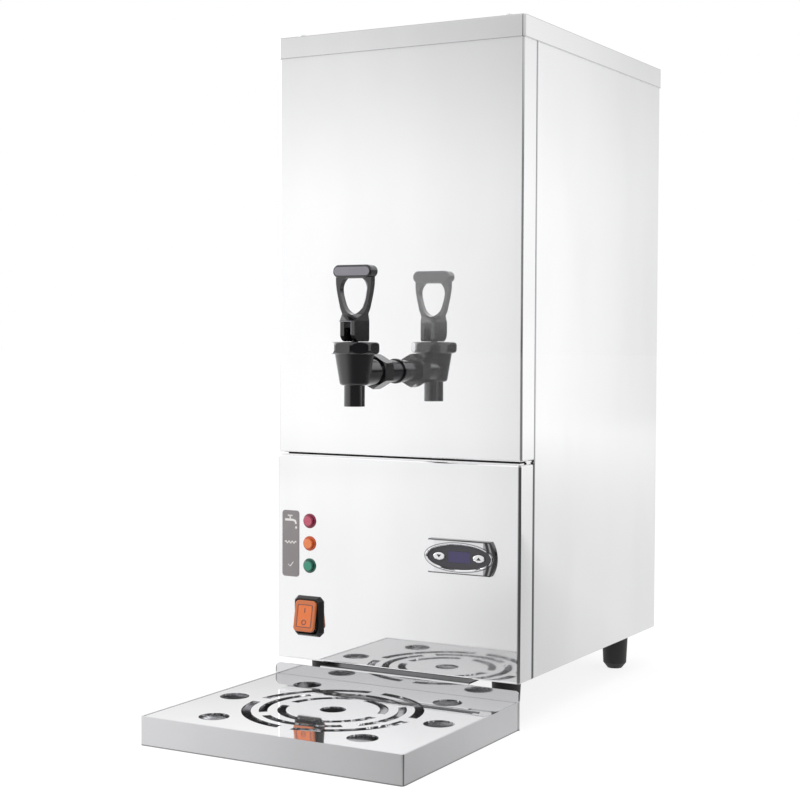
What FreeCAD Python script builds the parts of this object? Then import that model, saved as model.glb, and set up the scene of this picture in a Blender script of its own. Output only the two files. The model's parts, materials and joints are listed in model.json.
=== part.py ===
import FreeCAD, Part
import math
import os

from FreeCAD import Vector

# Counter-top hot water boiler with a lever tap, drip tray and front controls.
# All sizes are in millimetres. While modelling, X = 0 is the middle of the casing,
# Y = 0 is the face of the upper front panel and Z = 0 is the counter.

# Casing
casing_width = 250.0
casing_depth = 329.0
casing_height = 576.7
foot_gap = 39.2
sheet = 1.2
bend_radius = 2.0
flange_depth = 12.0
sheet_gap = 0.1

# Front panels, which wrap round the casing's corners
lower_panel_height = 190.5
lower_panel_proud = 1.9
seam_gap = 2.4
panel_return = 24.9
joint_gap = 0.6
joggle_width = 11.0

# Lid
lid_skirt = 19.4
lid_sheet = 1.0
lid_corner = 3.0
lid_edge_radius = 1.0
lid_screw_side_inset = 19.5
lid_screw_inset = 10.0

# Round-headed casing screws
screw_head_radius = 4.2
screw_head_height = 3.2
screw_rim_height = 0.4
screw_socket_radius = 1.2
screw_socket_depth = 1.4
screw_radius = 2.0
screw_length = 7.0
screw_gap = 0.15

# Rear panel
rear_flange = 15.0
rear_screw_rows = 4
rear_screw_end = 36.0
vent_rows = 9
vent_columns = 2
vent_length = 62.0
vent_height = 4.0
vent_pitch = 12.0
vent_column_x = 52.0
vent_low_z = 330.0

# Feet
foot_side_inset = 30.0
foot_end_inset = 35.0
foot_top_radius = 13.5
foot_waist_radius = 11.8
foot_base_radius = 7.3
foot_chamfer_height = 5.6
stud_radius = 3.0
stud_depth = 14.0
stud_gap = 0.05
stud_nut_width = 10.0
stud_nut_height = 5.0
stud_end = 2.0

# Drip tray
tray_side_overhang = 0.2
tray_front_reach = 207.4
tray_back_gap = 3.9
tray_height = 24.4
tray_wall = 1.2
tray_corner = 2.5
rim_width = 2.0
ledge_width = 5.0
upstand_side_overhang = 1.0
upstand_rise = 10.0
upstand_corner = 5.0
tongue_side_inset = 48.0
tongue_rise = 11.9
tongue_length = 22.0
tongue_bend = 2.0

# Drip grille
grille_sheet = 1.5
grille_set_down = 0.2
grille_gap = 0.4
lift_gap = 0.1
middle_hole_radius = 11.2
outer_hole_radius = 12.9
outer_hole_circle = 101.4
outer_hole_angles = (0, 45, 135, 180, 225, 315)
ring_radii = ((39.8, 47.1), (55.4, 62.7), (69.4, 77.5))
ring_turns = (0, 45, 0)
ring_bridges = 4
bridge_width = 13.0

# Tap, with heights taken from the middle of its shank
tap_height = 309.2
tap_reach = 72.0
spout_radius = 9.0
spout_bore = 6.0
spout_drop = 29.2
body_drop = 11.2
body_low_radius = 12.5
body_top_radius = 17.0
body_rise = 15.5
body_edge_radius = 3.0
body_wall = 2.4
seat_thickness = 5.7
neck_radius = 14.6
neck_rise = 5.6
bonnet_radius = 21.4
bonnet_height = 10.7
bonnet_cap = 3.5
bonnet_flat_count = 8
bonnet_flat_distance = 20.2
bonnet_edge_radius = 3.2
boss_radius = 12.0

# Tap shank, through the front panel into the tank
shank_radius = 9.85
shank_bore = 6.0
shank_socket = 10.3
thread_gap = 0.1
nut_width = 26.7
nut_front = 41.6
nut_depth = 14.9
nut_chamfer = 1.6
washer_radius = 11.2
washer_thickness = 1.5
back_nut_depth = 6.0

# Tap valve
stem_radius = 3.2
slide_gap = 0.08
pin_radius = 1.5
pin_gap = 0.06
pin_reach = 6.2
pin_end_gap = 0.2
cup_radius = 8.8
cup_height = 7.0
cup_floor = 2.0
cup_side_gap = 0.4
valve_gap = 0.2
spring_radius = 5.2
spring_wire = 0.7

# Tap handle
cam_gap = 0.3
pin_rise = 9.0
cam_width = 14.6
cam_depth = 25.0
cam_height = 17.8
cam_front_radius = 8.0
cam_rear_radius = 2.5
fork_width = 7.0
fork_height = 16.8
pocket_depth = 0.7
pocket_edge_x = 3.5
yoke_rise = 6.0
yoke_width = 21.0
yoke_depth = 9.0
arm_depth = 6.4
arm_set_back = 1.0
arm_low_rise = 28.8
arm_low_width = 26.6
arm_mid_rise = 36.0
arm_mid_width = 30.0
arm_high_rise = 44.5
arm_high_width = 33.6
arm_top_rise = 55.5
arm_top_width = 35.0
loop_floor_rise = 22.9
loop_low_rise = 28.8
loop_low_width = 17.6
loop_mid_rise = 36.0
loop_mid_width = 23.4
loop_high_rise = 46.0
loop_high_width = 26.8
loop_top_rise = 54.0
loop_top_width = 18.0
grip_width = 38.4
grip_height = 11.0
grip_depth = 12.4
grip_low_rise = 54.6
grip_set_back = 0.8
grip_edge_radius = 1.4
pad_inset = 0.9
pad_thickness = 0.6
pad_sink = 0.3

# Indicator lamps and the plate beside them
lamp_inset = 35.2
lamp_heights = (127.6, 148.3, 169.2)
lamp_names = ("lamp_green", "lamp_amber", "lamp_red")
lamp_flange_radius = 6.8
lamp_flange_thickness = 1.2
lamp_lens_radius = 5.1
lamp_lens_rise = 3.5
lamp_lens_edge = 1.2
lamp_barrel_radius = 4.8
lamp_barrel_length = 16.0
lamp_nut_width = 12.0
lamp_nut_depth = 3.0
label_inset = 14.4
label_z = 147.1
label_width = 18.4
label_height = 61.8
label_corner = 3.0
label_thickness = 0.4

# Rocker switch
switch_inset = 35.0
switch_z = 80.6
switch_flange_width = 31.2
switch_flange_height = 37.2
switch_flange_corner = 4.0
switch_flange_edge = 0.9
boot_front_corner = 2.6
switch_wall = 1.2
panel_cut_corner = 2.0
switch_gap = 0.3
switch_collar_rise = 4.8
switch_body_depth = 20.0
rocker_width = 22.8
rocker_height = 29.2
rocker_corner = 4.0
rocker_proud = 9.0
rocker_pivot_proud = 2.0
rocker_back = 5.0
rocker_tilt = 10.5
rocker_swing_room = 1.1
rocker_lens_thickness = 2.4
rocker_lens_inset = 0.2
rocker_lens_edge = 0.8
trunnion_radius = 1.6
trunnion_reach = 0.9

# Display with its two buttons
display_inset = 57.7
display_z = 146.6
bezel_width = 70.5
bezel_straight = 60.6
bezel_height = 30.3
bezel_thickness = 4.4
bezel_edge_radius = 1.3
bezel_slope_inset = 11.0
bezel_slope_drop = 2.1
lip_width = 1.7
lip_rise = 0.4
lip_edge_radius = 0.3
lip_bevel = 0.9
face_width = 62.6
face_height = 21.6
face_thickness = 2.6
window_width = 22.2
window_height = 10.2
window_thickness = 0.8
button_offset = 19.6
button_width = 11.6
button_height = 7.1
button_rise = 1.3
button_gap = 0.3
button_travel = 1.0
button_edge_radius = 0.9
module_width = 60.0
module_height = 24.0
module_depth = 16.0
module_wall = 1.5
module_corner = 2.0
display_cutout_margin = 4.0
board_sheet = 1.6
key_length = 4.0
key_radius = 2.3
glass_length = 5.0

# Tank and what stands round it
tank_side_gap = 25.0
tank_front = 34.0
tank_back_gap = 31.0
tank_height = 290.0
tank_wall = 1.2
tank_corner = 25.0
tank_boss_radius = 14.0
tank_boss_length = 8.0
tank_lid_sheet = 1.5
insulation = 11.0
insulation_gap = 0.3
shelf_rise = 14.0
shelf_front = 33.0
shelf_back_gap = 20.0
shelf_flange = 15.0

# Heating element
element_rod_radius = 4.0
element_spacing = 30.0
element_rise = 34.0
element_length = 215.0
element_head_radius = 26.0
element_head_depth = 8.0
element_pin_radius = 2.0
element_pin_length = 9.0

# Level probes, cut-out and pipes
probe_holder_radius = 14.0
probe_holder_height = 12.0
probe_hole_radius = 11.2
probe_terminal = 5.0
probe_radius = 1.5
probe_spacing = 7.0
probe_lengths = (45.0, 95.0, 215.0)
cutout_radius = 10.0
cutout_height = 9.0
blade_width = 6.0
blade_length = 8.0
blade_sheet = 0.8
pipe_radius = 5.0
pipe_wall = 1.0
pipe_bend = 14.0
pipe_x = 70.0
pipe_wall_gap = 8.5
pipe_top_rise = 24.0
pipe_entry_inset = 30.0
pipe_dip = 14.0

# Rear connections
inlet_z = 95.0
thread_radius = 13.2
thread_length = 16.0
inlet_neck_radius = 12.4
neck_length = 2.0
inlet_bore = 8.0
inlet_flange_radius = 18.0
inlet_flange_thickness = 3.0
valve_length = 34.0
valve_radius = 12.0
coil_width = 26.0
coil_height = 30.0
coil_corner = 4.0
coil_blade_inset = 6.0
overflow_x = -70.0
overflow_y = 240.0
overflow_z = 80.0
overflow_radius = 7.5
overflow_bore = 6.3
overflow_neck_radius = 7.1
overflow_bend = 22.0
overflow_tail = 22.0
overflow_top_drop = 14.0
overflow_collar_radius = 14.0
overflow_collar_thickness = 4.0
gland_x = 0.0
gland_z = 78.0
gland_radius = 8.0
gland_bore = 4.5
gland_width = 22.0
gland_hex_depth = 5.0
gland_cap_radius = 10.0
gland_cap_depth = 10.0
gland_cap_edge = 2.5
gland_nut_depth = 4.0
gland_inside = 9.0

# Control gear on the base pan
board_x = 40.0
board_y = 110.0
board_width = 120.0
board_depth = 90.0
board_rise = 9.0
board_hole_inset = 6.0
board_edge = 12.0
relay_count = 3
relay_pitch = 24.0
relay_width = 16.0
relay_depth = 28.0
relay_height = 18.0
transformer_width = 36.0
transformer_depth = 32.0
transformer_height = 28.0
capacitor_radius = 7.0
capacitor_height = 20.0
connector_width = 10.0
connector_height = 12.0
standoff_radius = 3.0
terminal_x = -62.0
terminal_y = 120.0
terminal_width = 24.0
terminal_pitch = 9.0
terminal_count = 6
terminal_height = 18.0

# Places worked out from the sizes above
half_width = casing_width / 2
inner_half = half_width - sheet
floor_z = foot_gap
pan_z = floor_z + sheet
top_z = foot_gap + casing_height
panel_top = top_z - lid_sheet
seam_low = floor_z + lower_panel_height
seam_high = seam_low + seam_gap
lower_face = -lower_panel_proud
lower_inner_face = lower_face + sheet
upper_return_end = panel_return
lower_return_end = lower_face + panel_return
rear_inner = casing_depth - sheet
rear_panel_front = rear_inner - sheet
neck_end = rear_inner + neck_length
joggle_face = inner_half - sheet_gap
pan_half = joggle_face - sheet - sheet_gap
lid_half = half_width + sheet_gap + lid_sheet
lid_front = -sheet_gap - lid_sheet
lid_back = casing_depth + sheet_gap + lid_sheet
tray_half = half_width + tray_side_overhang
upstand_half = half_width + upstand_side_overhang
tongue_half = half_width - tongue_side_inset
lid_screw_x = half_width - lid_screw_side_inset
lamp_x = -half_width + lamp_inset
label_x = -half_width + label_inset
switch_x = -half_width + switch_inset
display_x = half_width - display_inset
tray_front = -tray_front_reach
tray_back = -tray_back_gap
upstand_face = tray_back
ledge_top = tray_height - grille_set_down - grille_sheet - lift_gap
tap_y = -tap_reach
bonnet_low = tap_height + body_rise
bonnet_top = bonnet_low + bonnet_height
seat_z = tap_height - body_drop + seat_thickness
cam_low = bonnet_top + cam_gap
pin_z = cam_low + pin_rise
tank_half = half_width - tank_side_gap
tank_back = casing_depth - tank_back_gap
shelf_top = seam_high + shelf_rise
tank_top = shelf_top + tank_height
tank_mid_y = (tank_front + tank_back) / 2
rocker_half_room = rocker_height / 2 + rocker_swing_room
switch_pivot_y = lower_face - rocker_pivot_proud
pipe_y = rear_panel_front - pipe_wall_gap
display_board_front = lower_inner_face + module_depth - module_wall - board_sheet
button_back = display_board_front - key_length - button_travel - valve_gap


def box(x_low, x_high, y_low, y_high, z_low, z_high):
    """A block between two corners."""
    corner = Vector(x_low, y_low, z_low)
    return Part.makeBox(x_high - x_low, y_high - y_low, z_high - z_low, corner)


def rod(radius, start, end):
    """A cylinder between two points."""
    line = end.sub(start)
    return Part.makeCylinder(radius, line.Length, start, line)


def rod_y(radius, x, z, y_low, y_high):
    """A cylinder that runs front to back."""
    return rod(radius, Vector(x, y_low, z), Vector(x, y_high, z))


def rod_z(radius, x, y, z_low, z_high):
    """An upright cylinder."""
    return rod(radius, Vector(x, y, z_low), Vector(x, y, z_high))


def joined(shapes):
    """One solid from shapes that touch or overlap."""
    whole = shapes[0]
    for shape in shapes[1:]:
        whole = whole.fuse(shape)
    return whole.removeSplitter()


def edges_along(shape, direction):
    """The straight edges that run along a direction."""
    chosen = []
    for edge in shape.Edges:
        ends = edge.Vertexes
        if len(ends) < 2:
            continue
        span = ends[1].Point.sub(ends[0].Point)
        if abs(abs(span.dot(direction)) - edge.Length) < 1e-6:
            chosen.append(edge)
    return chosen


def edges_at(shape, axis, value):
    """The edges that lie in the plane where x, y or z has a value."""
    chosen = []
    for edge in shape.Edges:
        bounds = edge.BoundBox
        low = (bounds.XMin, bounds.YMin, bounds.ZMin)[axis]
        high = (bounds.XMax, bounds.YMax, bounds.ZMax)[axis]
        if abs(low - value) < 1e-4 and abs(high - value) < 1e-4:
            chosen.append(edge)
    return chosen


def rounded_along(shape, direction, radius):
    """The shape with its straight edges along a direction rounded."""
    return shape.makeFillet(radius, edges_along(shape, direction))


def front_plate(x, z, width, height, corner, y_front, y_back):
    """A round-cornered plate that faces the front."""
    plate = box(x - width / 2, x + width / 2, y_front, y_back, z - height / 2, z + height / 2)
    return rounded_along(plate, Vector(0, 1, 0), corner)


def oval_outline(x, z, width, height, y):
    """An ellipse that faces the front."""
    outline = Part.Wire(Part.Ellipse(Vector(0, 0, 0), width / 2, height / 2).toShape())
    outline.rotate(Vector(0, 0, 0), Vector(1, 0, 0), 90)
    outline.translate(Vector(x, y, z))
    return outline


def oval_plate(x, z, width, height, y_front, y_back):
    """An elliptical plate that faces the front."""
    face = Part.Face(oval_outline(x, z, width, height, y_front))
    return face.extrude(Vector(0, y_back - y_front, 0))


def rounded_oval(x, z, width, height, edge, y_front, y_back):
    """An elliptical plate whose front edge is rounded off in two steps."""
    sections = [
        oval_outline(x, z, width, height, y_back),
        oval_outline(x, z, width, height, y_front + edge),
    ]
    for turn in (45, 90):
        angle = math.radians(turn)
        inset = edge * (1 - math.cos(angle))
        y = y_front + edge * (1 - math.sin(angle))
        sections.append(oval_outline(x, z, width - 2 * inset, height - 2 * inset, y))
    return Part.makeLoft(sections, True, True)


def hexagon(x, z, width, y_low, y_high):
    """A hexagonal bar, front to back, with corners at its top and bottom."""
    radius = width / math.sqrt(3)
    corners = []
    for step in range(7):
        angle = math.radians(90 + 60 * step)
        corners.append(Vector(x + radius * math.cos(angle), y_low, z + radius * math.sin(angle)))
    face = Part.Face(Part.makePolygon(corners))
    return face.extrude(Vector(0, y_high - y_low, 0))


def upright_hexagon(x, y, width, z_low, z_high):
    """An upright hexagonal bar."""
    radius = width / math.sqrt(3)
    corners = []
    for step in range(7):
        angle = math.radians(60 * step)
        corners.append(Vector(x + radius * math.cos(angle), y + radius * math.sin(angle), z_low))
    face = Part.Face(Part.makePolygon(corners))
    return face.extrude(Vector(0, 0, z_high - z_low))


def turned(profile, x, y):
    """A solid turned round an upright axis from (radius, height) points."""
    points = [Vector(x + radius, y, height) for radius, height in profile]
    face = Part.Face(Part.makePolygon(points + points[:1]))
    return face.revolve(Vector(x, y, 0), Vector(0, 0, 1), 360)


def dome_screw(head_seat, direction):
    """A round-headed screw whose head sits on a point and whose shank runs the other way."""
    tip = head_seat.add(direction * screw_head_height)
    head = rod(screw_head_radius, head_seat, tip)
    rim = [edge for edge in head.Edges if edge.BoundBox.isInside(tip) and len(edge.Vertexes) == 1]
    head = head.makeFillet(screw_head_height - screw_rim_height, rim)
    socket = rod(screw_socket_radius, tip.sub(direction * screw_socket_depth), tip)
    shank = rod(screw_radius, head_seat.sub(direction * screw_length), head_seat)
    return joined([head.cut(socket), shank])


def front_pan(face, z_low, z_high):
    """A front panel folded back on all four sides, with square-cut inner flanges."""
    back = face + panel_return
    outer = box(-half_width, half_width, face, back, z_low, z_high)
    fold_edges = []
    rear_edges = edges_at(outer, 1, back)
    for edge in outer.Edges:
        if not any(edge.isSame(other) for other in rear_edges):
            fold_edges.append(edge)
    outer = outer.makeFillet(bend_radius, fold_edges)
    inner = box(-inner_half, inner_half, face + sheet, back + 1, z_low + sheet, z_high - sheet)
    trim = box(-inner_half, inner_half, face + flange_depth, back + 1, z_low - 1, z_high + 1)
    return outer.cut(inner).cut(trim)


def upper_front_panel():
    """The tall front panel, with the hole for the tap's shank."""
    pan = front_pan(0, seam_high, panel_top)
    return pan.cut(rod_y(shank_radius + thread_gap, 0, tap_height, -1, sheet + 1))


def display_outline_cut():
    """The opening behind the display."""
    width = face_width - 2 * display_cutout_margin
    height = face_height - display_cutout_margin
    return front_plate(display_x, display_z, width, height, panel_cut_corner, lower_face - 1,
                       lower_inner_face + 1)


def lower_front_panel():
    """The control panel, with openings for the lamps, the switch and the display."""
    pan = front_pan(lower_face, floor_z, seam_low)
    for height in lamp_heights:
        hole = lamp_barrel_radius + screw_gap
        pan = pan.cut(rod_y(hole, lamp_x, height, lower_face - 1, lower_inner_face + 1))
    width = rocker_width + 2 * (switch_gap + switch_wall + sheet_gap)
    height = 2 * (rocker_half_room + switch_wall + sheet_gap)
    opening = front_plate(switch_x, switch_z, width, height, panel_cut_corner, lower_face - 1,
                          lower_inner_face + 1)
    return pan.cut(opening).cut(display_outline_cut())


def rear_screw_places():
    """Where the rear panel's screws stand, as (x, z)."""
    low = floor_z + rear_screw_end
    high = panel_top - rear_screw_end
    x = half_width - rear_flange / 2 - sheet / 2
    places = []
    for side in (-1, 1):
        for row in range(rear_screw_rows):
            z = low + (high - low) * row / (rear_screw_rows - 1)
            places.append((side * x, z))
    return places


def rear_screw_holes():
    """Cutters for the rear panel's screws."""
    hole = screw_radius + screw_gap
    cutters = []
    for x, z in rear_screw_places():
        cutters.append(rod_y(hole, x, z, rear_panel_front - 1, casing_depth + 1))
    return cutters


def side_panel(side):
    """A side panel with its rear and bottom flanges, and the strip behind the front panels."""
    start = lower_return_end + joint_gap
    upper_start = upper_return_end + joint_gap
    outer = box(half_width - rear_flange, half_width, start, casing_depth, floor_z, panel_top)
    folds = []
    for edge in outer.Edges:
        bounds = edge.BoundBox
        upright = abs(bounds.XMin - half_width) < 1e-4 and abs(bounds.YMin - casing_depth) < 1e-4
        bottom = abs(bounds.XMin - half_width) < 1e-4 and abs(bounds.ZMax - floor_z) < 1e-4
        back = abs(bounds.YMin - casing_depth) < 1e-4 and abs(bounds.ZMax - floor_z) < 1e-4
        if upright or bottom or back:
            folds.append(edge)
    outer = outer.makeFillet(bend_radius, folds)
    inner = box(0, inner_half, start - 1, rear_inner, floor_z + sheet, panel_top + 1)
    panel = outer.cut(inner)
    step = box(0, half_width + 1, start - 1, upper_start, (seam_low + seam_high) / 2, panel_top + 1)
    panel = panel.cut(step)
    low = pan_z
    strip = box(joggle_face - sheet, joggle_face, start - joggle_width, upper_start + joggle_width / 2,
                low, panel_top)
    weld = box(joggle_face - sheet, inner_half, upper_start + joint_gap, upper_start + joggle_width / 2,
               low, panel_top)
    panel = joined([panel, strip, weld])
    if side < 0:
        panel = panel.mirror(Vector(0, 0, 0), Vector(1, 0, 0))
    for cutter in rear_screw_holes():
        panel = panel.cut(cutter)
    return panel


def vent_slots():
    """Cutters for the rear panel's rows of vents."""
    cutters = []
    for column in range(vent_columns):
        x = vent_column_x * (2 * column - (vent_columns - 1))
        for row in range(vent_rows):
            z = vent_low_z + row * vent_pitch
            slot = box(x - vent_length / 2, x + vent_length / 2, rear_panel_front - 1, rear_inner + 1,
                       z - vent_height / 2, z + vent_height / 2)
            cutters.append(rounded_along(slot, Vector(0, 1, 0), vent_height / 2 - 0.01))
    return cutters


def rear_panel():
    """The rear panel, inside the side panels' flanges, with vents and the pipe holes."""
    half = joggle_face
    panel = box(-half, half, rear_panel_front, rear_inner, pan_z, panel_top)
    for cutter in vent_slots():
        panel = panel.cut(cutter)
    for cutter in rear_screw_holes():
        panel = panel.cut(cutter)
    back = rear_inner + 1
    front = rear_panel_front - 1
    panel = panel.cut(rod_y(thread_radius + thread_gap, pipe_x, inlet_z, front, back))
    panel = panel.cut(rod_y(overflow_radius + thread_gap, overflow_x, overflow_z, front, back))
    panel = panel.cut(rod_y(gland_radius + thread_gap, gland_x, gland_z, front, back))
    return panel


def rear_screws():
    """The screws that hold the rear panel to the side panels' flanges."""
    screws = []
    for x, z in rear_screw_places():
        screws.append(dome_screw(Vector(x, casing_depth, z), Vector(0, 1, 0)))
    return Part.makeCompound(screws)


def lid_screw_places():
    """Where the lid's screws stand, as (x, y)."""
    places = []
    for x in (-lid_screw_x, lid_screw_x):
        for y in (lid_screw_inset, casing_depth - lid_screw_inset):
            places.append((x, y))
    return places


def lid():
    """The folded lid, whose skirt fits over the panels."""
    low = top_z - lid_skirt
    outer = box(-lid_half, lid_half, lid_front, lid_back, low, top_z)
    outer = rounded_along(outer, Vector(0, 0, 1), lid_corner)
    outer = outer.makeFillet(lid_edge_radius, edges_at(outer, 2, top_z))
    inner = box(-lid_half + lid_sheet, lid_half - lid_sheet, lid_front + lid_sheet,
                lid_back - lid_sheet, low - 1, panel_top)
    inner = rounded_along(inner, Vector(0, 0, 1), bend_radius)
    shell = outer.cut(inner)
    for x, y in lid_screw_places():
        shell = shell.cut(rod_z(screw_radius + screw_gap, x, y, panel_top - 1, top_z + 1))
    return shell


def lid_screws():
    """The lid's four round-headed screws."""
    screws = []
    for x, y in lid_screw_places():
        screws.append(dome_screw(Vector(x, y, top_z), Vector(0, 0, 1)))
    return Part.makeCompound(screws)


def lid_screw_tabs_cut(shape):
    """The shape with clearance holes where the lid's screws reach it."""
    for x, y in lid_screw_places():
        shape = shape.cut(rod_z(screw_radius + screw_gap, x, y, top_z - screw_length - 1, top_z))
    return shape


def foot_places():
    """Where the four feet stand, as (name, x, y)."""
    x = half_width - foot_side_inset
    front = foot_end_inset
    back = casing_depth - foot_end_inset
    return (
        ("foot_front_left", -x, front),
        ("foot_front_right", x, front),
        ("foot_rear_left", -x, back),
        ("foot_rear_right", x, back),
    )


def foot(x, y):
    """A tapered rubber foot with a blind hole for its stud."""
    profile = [
        (0, 0),
        (foot_base_radius, 0),
        (foot_waist_radius, foot_chamfer_height),
        (foot_top_radius, pan_z),
        (0, pan_z),
    ]
    body = turned(profile, x, y)
    return body.cut(rod_z(stud_radius + stud_gap, x, y, pan_z - stud_depth, pan_z + 1))


def foot_studs():
    """The studs moulded into the feet, each with its nut on the base pan."""
    studs = []
    pan_top = pan_z + sheet
    for name, x, y in foot_places():
        stud = rod_z(stud_radius, x, y, pan_z - stud_depth, pan_top + stud_nut_height + stud_end)
        nut = upright_hexagon(x, y, stud_nut_width, pan_top, pan_top + stud_nut_height)
        studs.append(joined([stud, nut]))
    return Part.makeCompound(studs)


def base_pan():
    """The base pan with turned-up edges, on the panels' bottom flanges."""
    front = lower_inner_face + sheet_gap
    back = rear_panel_front - sheet_gap
    outer = box(-pan_half, pan_half, front, back, pan_z, pan_z + shelf_flange)
    inner = box(-pan_half + sheet, pan_half - sheet, front + sheet, back - sheet,
                pan_z + sheet, pan_z + shelf_flange + 1)
    pan = outer.cut(inner)
    for name, x, y in foot_places():
        pan = pan.cut(rod_z(stud_radius + stud_gap, x, y, pan_z - 1, pan_z + sheet + 1))
    return pan


def tray_box():
    """The open tray with its rolled rim and the ledge that carries the grille."""
    outer = box(-tray_half, tray_half, tray_front, tray_back, 0, tray_height)
    front_edges = []
    for edge in edges_along(outer, Vector(0, 0, 1)):
        if edge.BoundBox.YMax < tray_front + 1:
            front_edges.append(edge)
    outer = outer.makeFillet(tray_corner, front_edges)
    inner = box(-tray_half + tray_wall, tray_half - tray_wall, tray_front + tray_wall, tray_back,
                tray_wall, ledge_top - tray_wall)
    ledge = rim_width + ledge_width
    mouth = box(-tray_half + ledge, tray_half - ledge, tray_front + ledge, tray_back - ledge_width,
                tray_wall, tray_height + 1)
    seat = box(-tray_half + rim_width, tray_half - rim_width, tray_front + rim_width, tray_back,
               ledge_top, tray_height + 1)
    return outer.cut(inner).cut(mouth).cut(seat)


def tray_upstand():
    """The tray's rear plate, wider than the tray and rising behind the grille."""
    back = upstand_face + tray_wall
    top = tray_height + upstand_rise
    plate = box(-upstand_half, upstand_half, upstand_face, back, 0, top)
    corner_edges = []
    for edge in edges_along(plate, Vector(0, 1, 0)):
        if edge.BoundBox.ZMin > top - 1:
            corner_edges.append(edge)
    return plate.makeFillet(upstand_corner, corner_edges)


def tray_tongue():
    """The tongue that bends back from the upstand and slides under the casing."""
    top = tray_height + tongue_rise
    back = upstand_face + tongue_length
    outer = box(-tongue_half, tongue_half, upstand_face, back, tray_height, top)
    bend_edges = []
    for edge in edges_along(outer, Vector(1, 0, 0)):
        if edge.BoundBox.YMax < upstand_face + 1 and edge.BoundBox.ZMin > top - 1:
            bend_edges.append(edge)
    outer = outer.makeFillet(tongue_bend, bend_edges)
    inner = box(-tongue_half - 1, tongue_half + 1, upstand_face + tray_wall, back + 1,
                tray_height - 1, top - tray_wall)
    return outer.cut(inner)


def drip_tray():
    """The drip tray, which slides out from under the front of the casing."""
    return joined([tray_box(), tray_upstand(), tray_tongue()])


def arc_slots(inner_radius, outer_radius, turn, y):
    """Cutters for one ring of slots, parted by straight bridges."""
    low = ledge_top - 1
    high = tray_height + 1
    ring = rod_z(outer_radius, 0, y, low, high).cut(rod_z(inner_radius, 0, y, low, high))
    for bridge in range(ring_bridges // 2):
        bar = box(-outer_radius - 1, outer_radius + 1, y - bridge_width / 2, y + bridge_width / 2, low, high)
        bar.rotate(Vector(0, y, 0), Vector(0, 0, 1), turn + 360 / ring_bridges * bridge)
        ring = ring.cut(bar)
    return ring


def drip_grille():
    """The grille plate: a middle hole, three rings of slots and six outer holes."""
    side = tray_half - rim_width - grille_gap
    front = tray_front + rim_width + grille_gap
    back = tray_back - grille_gap
    low = ledge_top + lift_gap
    high = low + grille_sheet
    middle = (tray_front + tray_back) / 2
    plate = box(-side, side, front, back, low, high)
    plate = rounded_along(plate, Vector(0, 0, 1), rim_width)
    plate = plate.cut(rod_z(middle_hole_radius, 0, middle, low - 1, high + 1))
    for angle in outer_hole_angles:
        x = outer_hole_circle * math.cos(math.radians(angle))
        y = middle + outer_hole_circle * math.sin(math.radians(angle))
        plate = plate.cut(rod_z(outer_hole_radius, x, y, low - 1, high + 1))
    for radii, turn in zip(ring_radii, ring_turns):
        plate = plate.cut(arc_slots(radii[0], radii[1], turn, middle))
    return plate


def cavity_profile():
    """The valve chamber and spout bore inside the tap, as (radius, height) points."""
    top = bonnet_low + neck_rise
    slope = (body_top_radius - body_low_radius) / (body_rise + body_drop)
    low_radius = body_low_radius + slope * seat_thickness - body_wall
    high_radius = neck_radius - body_wall
    return [
        (0, tap_height - spout_drop - 1),
        (spout_bore, tap_height - spout_drop - 1),
        (spout_bore, seat_z),
        (low_radius, seat_z),
        (high_radius, bonnet_low),
        (high_radius, top + 1),
        (0, top + 1),
    ]


def tap_body():
    """The tap's body: tapered barrel, spout, threaded neck and the boss for the shank."""
    base = tap_height - body_drop
    profile = [
        (0, tap_height - spout_drop),
        (spout_radius, tap_height - spout_drop),
        (spout_radius, base),
        (body_low_radius, base),
        (body_top_radius, bonnet_low),
        (neck_radius, bonnet_low),
        (neck_radius, bonnet_low + neck_rise),
        (0, bonnet_low + neck_rise),
    ]
    barrel = turned(profile, 0, tap_y)
    round_edges = []
    for edge in edges_at(barrel, 2, base):
        if abs(edge.BoundBox.XMax - body_low_radius) < 0.01:
            round_edges.append(edge)
    barrel = barrel.makeFillet(body_edge_radius, round_edges)
    boss = rod_y(boss_radius, 0, tap_height, tap_y, -nut_front)
    whole = joined([barrel, boss])
    whole = whole.cut(turned(cavity_profile(), 0, tap_y))
    bore_start = tap_y + cup_radius + cup_side_gap
    whole = whole.cut(rod_y(shank_bore, 0, tap_height, bore_start, -nut_front + 1))
    socket_end = -nut_front - shank_socket
    return whole.cut(rod_y(shank_radius + thread_gap, 0, tap_height, socket_end, -nut_front + 1))


def tap_bonnet():
    """The bonnet: a screw cap with a barrel edge and eight flats."""
    inner = neck_radius + thread_gap
    cap_low = bonnet_top - bonnet_cap
    body = rod_z(bonnet_radius, 0, tap_y, bonnet_low, bonnet_top)
    body = body.makeFillet(bonnet_edge_radius, edges_at(body, 2, bonnet_top) + edges_at(body, 2, bonnet_low))
    flats = upright_polygon(bonnet_flat_count, bonnet_flat_distance, 0, tap_y, bonnet_low - 1, bonnet_top + 1)
    body = body.common(flats)
    body = body.cut(rod_z(inner, 0, tap_y, bonnet_low - 1, cap_low))
    return body.cut(rod_z(stem_radius + slide_gap, 0, tap_y, cap_low - 1, bonnet_top + 1))


def upright_polygon(count, flat_distance, x, y, z_low, z_high):
    """An upright bar with many flats, one of them facing the front."""
    radius = flat_distance / math.cos(math.pi / count)
    corners = []
    for step in range(count + 1):
        angle = -math.pi / 2 + math.pi / count + 2 * math.pi * step / count
        corners.append(Vector(x + radius * math.cos(angle), y + radius * math.sin(angle), z_low))
    face = Part.Face(Part.makePolygon(corners))
    return face.extrude(Vector(0, 0, z_high - z_low))


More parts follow.
